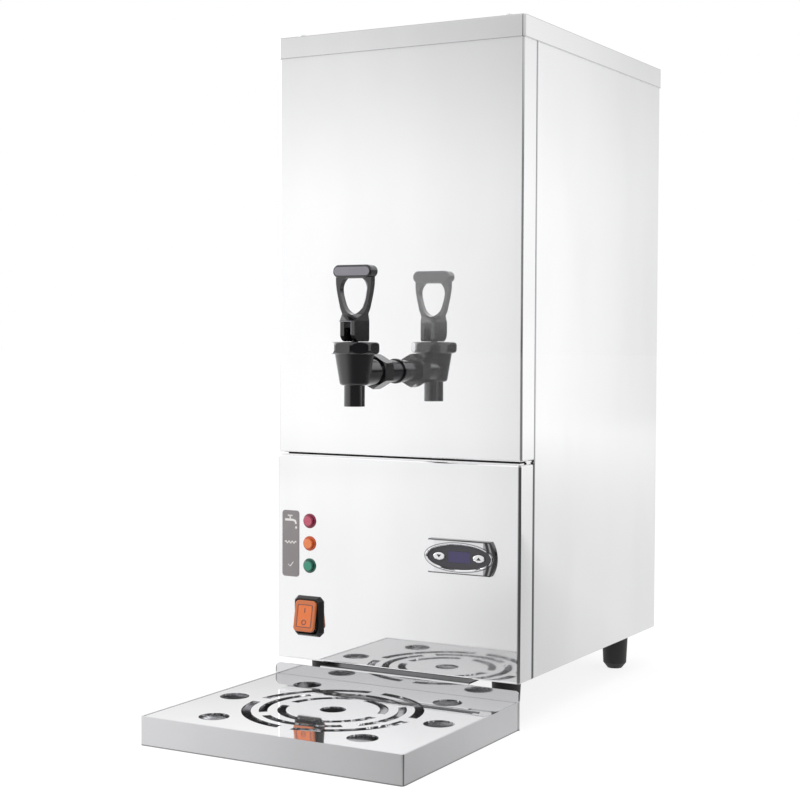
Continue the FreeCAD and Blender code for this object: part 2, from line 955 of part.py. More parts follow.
def tap_stem():
    """The valve stem, from the seat cup up to its round head in the handle's fork."""
    low = seat_z + valve_gap + cup_floor
    stem = rod_z(stem_radius, 0, tap_y, low, pin_z)
    head = Part.makeSphere(stem_radius, Vector(0, tap_y, pin_z))
    stem = joined([stem, head])
    return stem.cut(rod(pin_radius + stud_gap, Vector(-stem_radius - 1, tap_y, pin_z),
                        Vector(stem_radius + 1, tap_y, pin_z)))


def tap_pin():
    """The cross pin that carries the handle on the stem."""
    return rod(pin_radius, Vector(-pin_reach, tap_y, pin_z), Vector(pin_reach, tap_y, pin_z))


def tap_seat_cup():
    """The soft cup at the stem's foot, which closes the seat."""
    low = seat_z + valve_gap
    cup = rod_z(cup_radius, 0, tap_y, low, low + cup_height)
    return cup.cut(rod_z(stem_radius + stud_gap, 0, tap_y, low + cup_floor, low + cup_height + 1))


def tap_spring():
    """The spring that holds the cup on its seat, as its plain sleeve."""
    low = seat_z + valve_gap + cup_height
    high = bonnet_top - bonnet_cap
    sleeve = rod_z(spring_radius + spring_wire, 0, tap_y, low, high)
    return sleeve.cut(rod_z(spring_radius - spring_wire, 0, tap_y, low - 1, high + 1))


def cam_block():
    """The handle's foot: a rocking cam, rounder in front than behind."""
    front = tap_y - cam_depth / 2
    block = box(-cam_width / 2, cam_width / 2, front, front + cam_depth, cam_low, cam_low + cam_height)
    for edge_y, radius in ((front, cam_front_radius), (front + cam_depth, cam_rear_radius)):
        low_edges = []
        for edge in edges_along(block, Vector(1, 0, 0)):
            bounds = edge.BoundBox
            if abs(bounds.YMin - edge_y) < 0.01 and abs(bounds.ZMin - cam_low) < 0.01:
                low_edges.append(edge)
        block = block.makeFillet(radius, low_edges)
    return block


def yoke():
    """The neck that draws the cam block in to the depth of the loop and spreads it sideways."""
    sections = []
    block_top = cam_low + cam_height
    arm_y = tap_y + arm_set_back
    sizes = (
        (block_top, cam_width, cam_depth, tap_y),
        (block_top + yoke_rise, yoke_width, yoke_depth, arm_y),
        (cam_low + arm_low_rise, arm_low_width, arm_depth, arm_y),
    )
    for z, width, depth, y in sizes:
        corners = [
            Vector(-width / 2, y - depth / 2, z),
            Vector(width / 2, y - depth / 2, z),
            Vector(width / 2, y + depth / 2, z),
            Vector(-width / 2, y + depth / 2, z),
        ]
        sections.append(Part.makePolygon(corners + corners[:1]))
    return Part.makeLoft(sections, True, True)


def mirrored_outline(points, y):
    """A closed curve through points on the right side and their mirror images on the left."""
    right = Part.BSplineCurve()
    right.interpolate([Vector(x, y, z) for x, z in points])
    left = Part.BSplineCurve()
    left.interpolate([Vector(-x, y, z) for x, z in points])
    edges = [right.toShape(), left.toShape()]
    first, last = points[0], points[-1]
    if first[0] > 0:
        edges.append(Part.makeLine(Vector(-first[0], y, first[1]), Vector(first[0], y, first[1])))
    edges.append(Part.makeLine(Vector(last[0], y, last[1]), Vector(-last[0], y, last[1])))
    return Part.Wire(Part.sortEdges(edges)[0])


def handle_arms():
    """The flared pair of arms below the grip."""
    front = tap_y + arm_set_back - arm_depth / 2
    outline = [
        (arm_low_width / 2, cam_low + arm_low_rise),
        (arm_mid_width / 2, cam_low + arm_mid_rise),
        (arm_high_width / 2, cam_low + arm_high_rise),
        (arm_top_width / 2, cam_low + arm_top_rise),
    ]
    face = Part.Face(mirrored_outline(outline, front))
    return face.extrude(Vector(0, arm_depth, 0))


def finger_hole():
    """The cutter for the finger hole: round below, square-shouldered above."""
    front = tap_y - cam_depth
    outline = [
        (0, cam_low + loop_floor_rise),
        (loop_low_width / 2, cam_low + loop_low_rise),
        (loop_mid_width / 2, cam_low + loop_mid_rise),
        (loop_high_width / 2, cam_low + loop_high_rise),
        (loop_top_width / 2, cam_low + loop_top_rise),
    ]
    face = Part.Face(mirrored_outline(outline, front))
    return face.extrude(Vector(0, 2 * cam_depth, 0))


def grip_bar():
    """The round-ended grip across the top of the handle."""
    middle = tap_y + grip_set_back
    low = cam_low + grip_low_rise
    bar = box(-grip_width / 2, grip_width / 2, middle - grip_depth / 2, middle + grip_depth / 2,
              low, low + grip_height)
    bar = rounded_along(bar, Vector(0, 1, 0), grip_height / 2 - 0.01)
    ends = edges_at(bar, 1, middle - grip_depth / 2) + edges_at(bar, 1, middle + grip_depth / 2)
    return bar.makeFillet(grip_edge_radius, ends)


def grip_pad_shape(growth, sink):
    """The stadium-shaped pad on the grip's front face, or its pocket when grown."""
    face = tap_y + grip_set_back - grip_depth / 2
    height = grip_height - 2 * grip_edge_radius - pad_inset + 2 * growth
    width = grip_width - 2 * grip_edge_radius - pad_inset + 2 * growth
    z = cam_low + grip_low_rise + grip_height / 2
    front = face + pad_sink - pad_thickness
    return front_plate(0, z, width, height, height / 2 - 0.01, front, face + sink)


def tap_handle():
    """The lever handle: cam block with a fork, flared loop and grip."""
    whole = joined([cam_block(), yoke(), handle_arms()])
    whole = whole.cut(finger_hole())
    whole = joined([whole, grip_bar()])
    fork = box(-fork_width / 2, fork_width / 2, tap_y - cam_depth, tap_y + cam_depth,
               cam_low - 1, cam_low + fork_height)
    pocket = box(-cam_width, pocket_edge_x, tap_y - cam_depth, tap_y - cam_depth / 2 + pocket_depth,
                 cam_low - 1, cam_low + fork_height)
    whole = whole.cut(fork).cut(pocket)
    reach = pin_reach + pin_end_gap
    pin_hole = rod(pin_radius + pin_gap, Vector(-reach, tap_y, pin_z), Vector(reach, tap_y, pin_z))
    return whole.cut(pin_hole).cut(grip_pad_shape(sheet_gap, pad_sink))


def handle_pad():
    """The plain pad let into the front of the grip."""
    return grip_pad_shape(0, pad_sink)


def chamfered_nut(z, width, y_low, y_high):
    """A hexagon nut with turned corners at both ends."""
    bar = hexagon(0, z, width, y_low, y_high)
    turned_bar = rod_y(width / math.sqrt(3), 0, z, y_low, y_high)
    ends = edges_at(turned_bar, 1, y_low) + edges_at(turned_bar, 1, y_high)
    turned_bar = turned_bar.makeChamfer(nut_chamfer, ends)
    return bar.common(turned_bar).cut(rod_y(shank_radius + thread_gap, 0, z, y_low - 1, y_high + 1))


def tap_nut():
    """The hexagon nut that clamps the tap to its shank."""
    return chamfered_nut(tap_height, nut_width, -nut_front, -nut_front + nut_depth)


def tap_back_nut():
    """The nut that clamps the shank from inside the panel."""
    return chamfered_nut(tap_height, nut_width, sheet, sheet + back_nut_depth)


def tap_shank():
    """The hollow shank from the tap to the tank."""
    front = -nut_front - shank_socket + thread_gap
    back = tank_front + tank_wall
    shank = rod_y(shank_radius, 0, tap_height, front, back)
    return shank.cut(rod_y(shank_bore, 0, tap_height, front - 1, back + 1))


def tap_washer():
    """The washer between the shank's collar and the front panel."""
    washer = rod_y(washer_radius, 0, tap_height, -washer_thickness, 0)
    return washer.cut(rod_y(shank_radius + thread_gap, 0, tap_height, -washer_thickness - 1, 1))


def lamp(height):
    """An indicator lamp: bevelled flange, raised lens and threaded barrel."""
    face = lower_face
    flange = rod_y(lamp_flange_radius, lamp_x, height, face - lamp_flange_thickness, face)
    flange = flange.makeChamfer(lamp_flange_thickness / 2, edges_at(flange, 1, face - lamp_flange_thickness))
    lens = rod_y(lamp_lens_radius, lamp_x, height, face - lamp_lens_rise, face)
    lens = lens.makeFillet(lamp_lens_edge, edges_at(lens, 1, face - lamp_lens_rise))
    barrel = rod_y(lamp_barrel_radius, lamp_x, height, face, face + lamp_barrel_length)
    return joined([flange, lens, barrel])


def lamp_nuts():
    """The nuts behind the panel that hold the lamps."""
    nuts = []
    for height in lamp_heights:
        nut = hexagon(lamp_x, height, lamp_nut_width, lower_inner_face, lower_inner_face + lamp_nut_depth)
        hole = rod_y(lamp_barrel_radius + thread_gap, lamp_x, height, lower_face,
                     lower_face + lamp_barrel_length)
        nuts.append(nut.cut(hole))
    return Part.makeCompound(nuts)


def label_plate():
    """The bare grey plate beside the lamps."""
    return front_plate(label_x, label_z, label_width, label_height, label_corner,
                       lower_face - label_thickness, lower_face)


def cut_cornered_outline(width, height, corner, y):
    """The outline of a plate round the switch's middle with its corners cut off."""
    half_x = width / 2
    half_z = height / 2
    points = []
    for side_x, side_z in ((1, 1), (-1, 1), (-1, -1), (1, -1)):
        on_side = Vector(switch_x + side_x * half_x, y, switch_z + side_z * (half_z - corner))
        on_end = Vector(switch_x + side_x * (half_x - corner), y, switch_z + side_z * half_z)
        if side_x * side_z > 0:
            points += [on_side, on_end]
        else:
            points += [on_end, on_side]
    return Part.makePolygon(points + points[:1])


def switch_boot(front_width, front_height):
    """The flange that lies on the panel and tapers forwards to the rocker's opening."""
    front = lower_face - switch_collar_rise
    edge = lower_face - switch_flange_edge
    sections = [
        cut_cornered_outline(switch_flange_width, switch_flange_height, switch_flange_corner, lower_face),
        cut_cornered_outline(switch_flange_width, switch_flange_height, switch_flange_corner, edge),
        cut_cornered_outline(front_width, front_height, boot_front_corner, front),
    ]
    return Part.makeLoft(sections, True, True)


def switch_frame():
    """The switch's fixed frame: tapered boot and the box behind the panel."""
    face = lower_face
    inner_width = rocker_width + 2 * switch_gap
    inner_height = 2 * rocker_half_room
    outer_width = inner_width + 2 * switch_wall
    outer_height = inner_height + 2 * switch_wall
    boot = switch_boot(outer_width, outer_height)
    body = front_plate(switch_x, switch_z, outer_width, outer_height, rocker_corner,
                       face, face + switch_body_depth)
    cavity = front_plate(switch_x, switch_z, inner_width, inner_height, rocker_corner - switch_wall / 2,
                         face - switch_collar_rise - 1, face + switch_body_depth - switch_wall)
    reach = rocker_width / 2 + trunnion_reach + switch_gap / 2
    bearing = rod(trunnion_radius + pin_gap, Vector(switch_x - reach, switch_pivot_y, switch_z),
                  Vector(switch_x + reach, switch_pivot_y, switch_z))
    return joined([boot, body]).cut(cavity).cut(bearing)


def tilted(shape):
    """The shape turned about the rocker's pivot to the position with its top pressed in."""
    shape.rotate(Vector(switch_x, switch_pivot_y, switch_z), Vector(1, 0, 0), -rocker_tilt)
    return shape


def switch_rocker():
    """The rocker's black body with its trunnions."""
    front = lower_face - rocker_proud + rocker_lens_thickness
    body = front_plate(switch_x, switch_z, rocker_width, rocker_height, rocker_corner,
                       front, switch_pivot_y + rocker_back)
    reach = rocker_width / 2 + trunnion_reach
    axle = rod(trunnion_radius, Vector(switch_x - reach, switch_pivot_y, switch_z),
               Vector(switch_x + reach, switch_pivot_y, switch_z))
    return tilted(joined([body, axle]))


def switch_lens():
    """The amber face on the front of the rocker."""
    back = lower_face - rocker_proud + rocker_lens_thickness
    front = back - rocker_lens_thickness
    lens = front_plate(switch_x, switch_z, rocker_width - 2 * rocker_lens_inset,
                       rocker_height - 2 * rocker_lens_inset, rocker_corner, front, back)
    lens = lens.makeFillet(rocker_lens_edge, edges_at(lens, 1, front))
    return tilted(lens)


def bezel_outline(y):
    """The bezel's outline: straight above and below, bulging at both ends."""
    half = bezel_height / 2
    corner = bezel_straight / 2
    right_top = Vector(display_x + corner, y, display_z + half)
    right_low = Vector(display_x + corner, y, display_z - half)
    left_top = Vector(display_x - corner, y, display_z + half)
    left_low = Vector(display_x - corner, y, display_z - half)
    right_tip = Vector(display_x + bezel_width / 2, y, display_z)
    left_tip = Vector(display_x - bezel_width / 2, y, display_z)
    edges = [
        Part.makeLine(left_top, right_top),
        Part.Arc(right_top, right_tip, right_low).toShape(),
        Part.makeLine(right_low, left_low),
        Part.Arc(left_low, left_tip, left_top).toShape(),
    ]
    return Part.Wire(edges)


def bezel_end_cut(side):
    """The cutter that slopes one end of the bezel back towards the panel."""
    front = lower_face - bezel_thickness
    low = display_z - bezel_height
    tip_x = display_x + side * bezel_width / 2
    start_x = tip_x - side * bezel_slope_inset
    corners = [
        Vector(start_x, front, low),
        Vector(tip_x, front + bezel_slope_drop, low),
        Vector(tip_x + side * bezel_slope_inset, front + bezel_slope_drop, low),
        Vector(tip_x + side * bezel_slope_inset, front - bezel_thickness, low),
        Vector(start_x, front - bezel_thickness, low),
    ]
    face = Part.Face(Part.makePolygon(corners + corners[:1]))
    return face.extrude(Vector(0, 0, 2 * bezel_height))


def bezel_lip():
    """The oval lip that stands a little proud round the display's face."""
    front = lower_face - bezel_thickness - lip_rise
    return rounded_oval(display_x, display_z, face_width + 2 * lip_width, face_height + 2 * lip_width,
                        lip_edge_radius, front, lower_face)


def display_bezel():
    """The bright bezel: ends that slope back and a bevelled oval lip round the face."""
    front = lower_face - bezel_thickness
    bezel = Part.Face(bezel_outline(front)).extrude(Vector(0, bezel_thickness, 0))
    bezel = bezel.makeFillet(bezel_edge_radius, edges_at(bezel, 1, front))
    for side in (-1, 1):
        bezel = bezel.cut(bezel_end_cut(side))
    bezel = joined([bezel, bezel_lip()])
    width = face_width + 2 * sheet_gap
    height = face_height + 2 * sheet_gap
    opening = oval_plate(display_x, display_z, width, height, front - lip_rise - 1, lower_face + 1)
    mouth = Part.makeLoft([
        oval_outline(display_x, display_z, width + 2 * lip_bevel, height + 2 * lip_bevel, front - lip_rise),
        oval_outline(display_x, display_z, width, height, front - lip_rise + lip_bevel),
    ], True, True)
    return bezel.cut(opening).cut(mouth)


def button_places():
    """The two buttons' names and their middles' X."""
    return (("button_down", display_x - button_offset), ("button_up", display_x + button_offset))


def display_face():
    """The dark oval face with the buttons' holes and the window's recess."""
    front = lower_face - face_thickness
    plate = oval_plate(display_x, display_z, face_width, face_height, front, lower_face)
    for name, x in button_places():
        plate = plate.cut(oval_plate(x, display_z, button_width + 2 * button_gap,
                                     button_height + 2 * button_gap, front - 1, lower_face + 1))
    recess = box(display_x - window_width / 2 - sheet_gap, display_x + window_width / 2 + sheet_gap,
                 front - 1, front + window_thickness,
                 display_z - window_height / 2 - sheet_gap, display_z + window_height / 2 + sheet_gap)
    return plate.cut(recess)


def display_window():
    """The display's window, flush in the oval face."""
    front = lower_face - face_thickness
    return box(display_x - window_width / 2, display_x + window_width / 2, front, front + window_thickness,
               display_z - window_height / 2, display_z + window_height / 2)


def button(x):
    """An oval push button with a rounded front."""
    front = lower_face - face_thickness - button_rise
    return rounded_oval(x, display_z, button_width, button_height, button_edge_radius, front, button_back)


def display_module():
    """The open-fronted box behind the panel."""
    front = lower_inner_face
    outer = front_plate(display_x, display_z, module_width, module_height, module_corner, front,
                        front + module_depth)
    inner = box(display_x - module_width / 2 + module_wall, display_x + module_width / 2 - module_wall,
                front - 1, front + module_depth - module_wall,
                display_z - module_height / 2 + module_wall, display_z + module_height / 2 - module_wall)
    return outer.cut(inner)


def display_board():
    """The display's circuit board with its glass and two key switches."""
    front = display_board_front
    back = front + board_sheet
    board = box(display_x - module_width / 2 + module_wall + sheet_gap,
                display_x + module_width / 2 - module_wall - sheet_gap, front, back,
                display_z - module_height / 2 + module_wall + sheet_gap,
                display_z + module_height / 2 - module_wall - sheet_gap)
    pieces = [board]
    glass = box(display_x - window_width / 2, display_x + window_width / 2, front - glass_length, front,
                display_z - window_height / 2, display_z + window_height / 2)
    pieces.append(glass)
    for name, x in button_places():
        pieces.append(rod_y(key_radius, x, display_z, front - key_length, front))
    return joined(pieces)


def tank_block(growth, z_low, z_high):
    """A round-cornered block of the tank's plan, grown on every side."""
    block = box(-tank_half - growth, tank_half + growth, tank_front - growth, tank_back + growth,
                z_low, z_high)
    return rounded_along(block, Vector(0, 0, 1), tank_corner + growth)


def element_rod_places():
    """The X of the element's two legs."""
    return (-element_spacing / 2, element_spacing / 2)


def boiler_tank():
    """The open-topped tank with its boss for the tap and the element's holes."""
    tank = tank_block(0, shelf_top, tank_top).cut(tank_block(-tank_wall, shelf_top + tank_wall, tank_top + 1))
    boss = rod_y(tank_boss_radius, 0, tap_height, tank_front - tank_boss_length, tank_front + tank_wall)
    tank = joined([tank, boss])
    tank = tank.cut(rod_y(shank_radius + thread_gap, 0, tap_height, tank_front - tank_boss_length - 1,
                          tank_front + tank_wall + 1))
    for x in element_rod_places():
        tank = tank.cut(rod_y(element_rod_radius + thread_gap, x, shelf_top + element_rise,
                              tank_back - tank_wall - 1, tank_back + 1))
    return tank.cut(rod_z(overflow_radius + thread_gap, overflow_x, overflow_y, shelf_top - 1,
                          shelf_top + tank_wall + 1))


def tank_lid():
    """The tank's cover, with holes for the probes and the inlet pipe."""
    plate = tank_block(0, tank_top, tank_top + tank_lid_sheet)
    plate = plate.cut(rod_z(probe_hole_radius, 0, tank_mid_y, tank_top - 1, tank_top + tank_lid_sheet + 1))
    entry_y = tank_back - pipe_entry_inset
    return plate.cut(rod_z(pipe_radius + thread_gap, pipe_x, entry_y, tank_top - 1,
                           tank_top + tank_lid_sheet + 1))


def insulation_jacket():
    """The foam jacket round the tank's four sides."""
    jacket = tank_block(insulation, shelf_top, tank_top).cut(
        tank_block(insulation_gap, shelf_top - 1, tank_top + 1))
    boss = tank_boss_radius + insulation_gap
    jacket = jacket.cut(rod_y(boss, 0, tap_height, tank_front - insulation - 1, tank_front))
    head = element_head_radius + insulation_gap
    return jacket.cut(rod_y(head, 0, shelf_top + element_rise, tank_back, tank_back + insulation + 1))


def tank_shelf():
    """The shelf between the side panels that carries the tank."""
    back = casing_depth - shelf_back_gap
    outer = box(-inner_half, inner_half, shelf_front, back, shelf_top - shelf_flange, shelf_top)
    inner = box(-inner_half + sheet, inner_half - sheet, shelf_front + sheet, back + 1,
                shelf_top - shelf_flange - 1, shelf_top - sheet)
    shelf = outer.cut(inner)
    return shelf.cut(rod_z(overflow_radius + thread_gap, overflow_x, overflow_y, shelf_top - sheet - 1,
                           shelf_top + 1))


def heating_element():
    """The immersion element: a round head and a long loop of rod."""
    z = shelf_top + element_rise
    left, right = element_rod_places()
    turn_y = tank_back - element_length
    legs = [rod_y(element_rod_radius, x, z, turn_y, tank_back) for x in (left, right)]
    circle = Part.makeCircle(element_rod_radius, Vector(right, turn_y, z), Vector(0, 1, 0))
    turn = Part.Face(Part.Wire(circle)).revolve(Vector(0, turn_y, z), Vector(0, 0, 1), -180)
    head = rod_y(element_head_radius, 0, z, tank_back, tank_back + element_head_depth)
    pieces = legs + [turn, head]
    for x in (left, right):
        pin_end = tank_back + element_head_depth + element_pin_length
        pieces.append(rod_y(element_pin_radius, x, z, tank_back + element_head_depth, pin_end))
    return joined(pieces)


def level_probes():
    """The probe holder on the tank's lid and its three probes."""
    base = tank_top + tank_lid_sheet
    pieces = [rod_z(probe_holder_radius, 0, tank_mid_y, base, base + probe_holder_height)]
    for index, length in enumerate(probe_lengths):
        x = (index - 1) * probe_spacing
        pieces.append(rod_z(probe_radius, x, tank_mid_y, tank_top - length,
                            base + probe_holder_height + probe_terminal))
    return joined(pieces)


def overheat_cutout():
    """The overheat cut-out on the tank's lid, with two blade terminals."""
    base = tank_top + tank_lid_sheet
    x = tank_half / 2
    pieces = [rod_z(cutout_radius, x, tank_mid_y, base, base + cutout_height)]
    for side in (-1, 1):
        blade_x = x + side * cutout_radius / 2
        pieces.append(box(blade_x - blade_sheet / 2, blade_x + blade_sheet / 2,
                          tank_mid_y - blade_width / 2, tank_mid_y + blade_width / 2,
                          base + cutout_height, base + cutout_height + blade_length))
    return joined(pieces)


def swept_tube(points, radius, bore, bend):
    """A bent tube through points, with an arc of one radius at each bend."""
    edges = []
    start = points[0]
    for index in range(1, len(points) - 1):
        corner = points[index]
        before = points[index - 1].sub(corner).normalize()
        after = points[index + 1].sub(corner).normalize()
        half_angle = before.getAngle(after) / 2
        cut_back = bend / math.tan(half_angle)
        arc_start = corner.add(before * cut_back)
        arc_end = corner.add(after * cut_back)
        middle = before.add(after).normalize()
        arc_middle = corner.add(middle * (bend / math.sin(half_angle) - bend))
        edges.append(Part.makeLine(start, arc_start))
        edges.append(Part.Arc(arc_start, arc_middle, arc_end).toShape())
        start = arc_end
    edges.append(Part.makeLine(start, points[-1]))
    path = Part.Wire(edges)
    direction = points[1].sub(points[0])
    solids = []
    for size in (radius, bore):
        ring = Part.Wire(Part.makeCircle(size, points[0], direction))
        solids.append(path.makePipeShell([ring], True, False))
    return solids[0].cut(solids[1])


def inlet_pipe():
    """The pipe from the inlet valve, up behind the tank and down through its lid."""
    entry_y = tank_back - pipe_entry_inset
    top = tank_top + tank_lid_sheet + pipe_top_rise
    points = [
        Vector(pipe_x, pipe_y, inlet_z + valve_radius),
        Vector(pipe_x, pipe_y, top),
        Vector(pipe_x, entry_y, top),
        Vector(pipe_x, entry_y, tank_top - pipe_dip),
    ]
    return swept_tube(points, pipe_radius, pipe_radius - pipe_wall, pipe_bend)


def inlet_valve():
    """The inlet valve: threaded inlet with a neck in the rear panel, flange, body and outlet boss."""
    flange_back = rear_panel_front
    flange_front = flange_back - inlet_flange_thickness
    front = flange_back - valve_length
    tip = casing_depth + thread_length
    thread = rod_y(thread_radius, pipe_x, inlet_z, neck_end, tip)
    neck = rod_y(inlet_neck_radius, pipe_x, inlet_z, flange_back, neck_end)
    flange = rod_y(inlet_flange_radius, pipe_x, inlet_z, flange_front, flange_back)
    body = rod_y(valve_radius, pipe_x, inlet_z, front, flange_front)
    boss = rod_z(pipe_radius + pipe_wall, pipe_x, pipe_y, inlet_z, inlet_z + valve_radius)
    bore = rod_y(inlet_bore, pipe_x, inlet_z, flange_front, tip + 1)
    return joined([thread, neck, flange, body, boss]).cut(bore)


def valve_coil():
    """The inlet valve's coil, in front of its body."""
    back = rear_panel_front - valve_length
    front = back - coil_width
    coil = box(pipe_x - coil_width / 2, pipe_x + coil_width / 2, front, back,
               inlet_z - coil_height / 2, inlet_z + coil_height / 2)
    coil = rounded_along(coil, Vector(0, 1, 0), coil_corner)
    blades = []
    top = inlet_z + coil_height / 2
    for side in (-1, 1):
        x = pipe_x + side * coil_width / 4
        blades.append(box(x - blade_width / 2, x + blade_width / 2, front + coil_blade_inset,
                          front + coil_blade_inset + blade_sheet, top, top + blade_length))
    return joined([coil] + blades)


def overflow_pipe():
    """The overflow: a standpipe in the tank that turns back and ends inside the rear panel."""
    points = [
        Vector(overflow_x, overflow_y, tank_top - overflow_top_drop),
        Vector(overflow_x, overflow_y, overflow_z),
        Vector(overflow_x, rear_panel_front - overflow_collar_thickness, overflow_z),
    ]
    return swept_tube(points, overflow_radius, overflow_bore, overflow_bend)


def overflow_outlet():
    """The overflow's tail, with its neck in the rear panel and the collar that holds it there."""
    collar_front = rear_panel_front - overflow_collar_thickness
    tail = rod_y(overflow_radius, overflow_x, overflow_z, neck_end, casing_depth + overflow_tail)
    neck = rod_y(overflow_neck_radius, overflow_x, overflow_z, rear_panel_front, neck_end)
    collar = rod_y(overflow_collar_radius, overflow_x, overflow_z, collar_front, rear_panel_front)
    bore = rod_y(overflow_bore, overflow_x, overflow_z, collar_front - 1, casing_depth + overflow_tail + 1)
    return joined([tail, neck, collar]).cut(bore)


def cable_gland():
    """The cable gland in the rear panel: barrel, hexagon and domed cap."""
    hex_end = rear_inner + gland_hex_depth
    cap_end = hex_end + gland_cap_depth
    barrel = rod_y(gland_radius, gland_x, gland_z, rear_panel_front - gland_inside, hex_end)
    body = hexagon(gland_x, gland_z, gland_width, rear_inner, hex_end)
    cap = rod_y(gland_cap_radius, gland_x, gland_z, hex_end, cap_end)
    cap = cap.makeFillet(gland_cap_edge, edges_at(cap, 1, cap_end))
    bore = rod_y(gland_bore, gland_x, gland_z, rear_panel_front - gland_inside - 1, cap_end + 1)
    return joined([barrel, body, cap]).cut(bore)


def gland_nut():
    """The gland's lock nut inside the rear panel."""
    front = rear_panel_front - gland_nut_depth
    nut = hexagon(gland_x, gland_z, gland_width, front, rear_panel_front)
    return nut.cut(rod_y(gland_radius + thread_gap, gland_x, gland_z, front - 1, rear_panel_front + 1))


def board_hole_places():
    """The control board's four fixing points."""
    places = []
    for side_x in (-1, 1):
        for side_y in (-1, 1):
            x = board_x + side_x * (board_width / 2 - board_hole_inset)
            y = board_y + side_y * (board_depth / 2 - board_hole_inset)
            places.append((x, y))
    return places


def control_board():
    """The control board with its relays, transformer, capacitor and connector rail."""
    low = pan_z + sheet + board_rise
    top = low + board_sheet
    half_x = board_width / 2
    half_y = board_depth / 2
    pieces = [box(board_x - half_x, board_x + half_x, board_y - half_y, board_y + half_y, low, top)]
    left = board_x - half_x + board_edge
    right = board_x + half_x - board_edge
    front = board_y - half_y + board_edge
    back = board_y + half_y - board_edge
    for index in range(relay_count):
        relay_x = left + index * relay_pitch
        pieces.append(box(relay_x, relay_x + relay_width, back - relay_depth, back, top, top + relay_height))
    pieces.append(box(left, left + transformer_width, front, front + transformer_depth, top,
                      top + transformer_height))
    capacitor_x = left + transformer_width + 2 * capacitor_radius
    pieces.append(rod_z(capacitor_radius, capacitor_x, front + transformer_depth / 2, top,
                        top + capacitor_height))
    pieces.append(box(right, right + connector_width, front, back, top, top + connector_height))
    return joined(pieces)


def board_standoffs():
    """The pillars under the control board."""
    pillars = []
    low = pan_z + sheet
    for x, y in board_hole_places():
        pillars.append(rod_z(standoff_radius, x, y, low, low + board_rise))
    return Part.makeCompound(pillars)


def terminal_block():
    """The mains terminal block on the base pan."""
    low = pan_z + sheet
    length = terminal_pitch * terminal_count
    front = terminal_y - length / 2
    block = box(terminal_x - terminal_width / 2, terminal_x + terminal_width / 2, front, front + length,
                low, low + terminal_height)
    for index in range(terminal_count):
        y = front + terminal_pitch * (index + 0.5)
        for side in (-1, 1):
            x = terminal_x + side * terminal_width / 4
            block = block.cut(rod_z(terminal_pitch / 4, x, y, low + terminal_height / 2,
                                    low + terminal_height + 1))
    return block


def make_nodes():
    """Every piece of the boiler by its node's name."""
    nodes = {
        "lid": lid(),
        "lid_screws": lid_screws(),
        "upper_front_panel": lid_screw_tabs_cut(upper_front_panel()),
        "lower_front_panel": lower_front_panel(),
        "left_side_panel": lid_screw_tabs_cut(side_panel(-1)),
        "right_side_panel": lid_screw_tabs_cut(side_panel(1)),
        "rear_panel": lid_screw_tabs_cut(rear_panel()),
        "rear_screws": rear_screws(),
        "base_pan": base_pan(),
        "foot_studs": foot_studs(),
        "drip_tray": drip_tray(),
        "drip_grille": drip_grille(),
        "tap_body": tap_body(),
        "tap_bonnet": tap_bonnet(),
        "tap_stem": tap_stem(),
        "tap_pin": tap_pin(),
        "tap_seat_cup": tap_seat_cup(),
        "tap_spring": tap_spring(),
        "tap_handle": tap_handle(),
        "handle_pad": handle_pad(),
        "tap_nut": tap_nut(),
        "tap_shank": tap_shank(),
        "tap_washer": tap_washer(),
        "tap_back_nut": tap_back_nut(),
        "lamp_nuts": lamp_nuts(),
        "label_plate": label_plate(),
        "switch_frame": switch_frame(),
        "switch_rocker": switch_rocker(),
        "switch_lens": switch_lens(),
        "display_bezel": display_bezel(),
        "display_face": display_face(),
        "display_window": display_window(),
        "display_module": display_module(),
        "display_board": display_board(),
        "boiler_tank": boiler_tank(),
        "tank_lid": tank_lid(),
        "insulation_jacket": insulation_jacket(),
        "tank_shelf": tank_shelf(),
        "heating_element": heating_element(),
        "level_probes": level_probes(),
        "overheat_cutout": overheat_cutout(),
        "inlet_pipe": inlet_pipe(),
        "inlet_valve": inlet_valve(),
        "valve_coil": valve_coil(),
        "overflow_pipe": overflow_pipe(),
        "overflow_outlet": overflow_outlet(),
        "cable_gland": cable_gland(),
        "gland_nut": gland_nut(),
        "control_board": control_board(),
        "board_standoffs": board_standoffs(),
        "terminal_block": terminal_block(),
    }
    for name, x, y in foot_places():
        nodes[name] = foot(x, y)
    for name, height in zip(lamp_names, lamp_heights):
        nodes[name] = lamp(height)
    for name, x in button_places():
        nodes[name] = button(x)
    return nodes


def main():
    """Write every node with the origin at the middle of the footprint, on the counter."""
    os.makedirs("parts", exist_ok=True)
    back = casing_depth + overflow_tail
    shift = Vector(0, -(tray_front + back) / 2, 0)
    for name, shape in make_nodes().items():
        shape.translate(shift)
        shape.exportStep("parts/" + name + ".step")
    print("origin shift in Y", round(shift.y, 3))


main()
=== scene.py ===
import json
import math

import bmesh
import bpy
from mathutils import Matrix, Vector


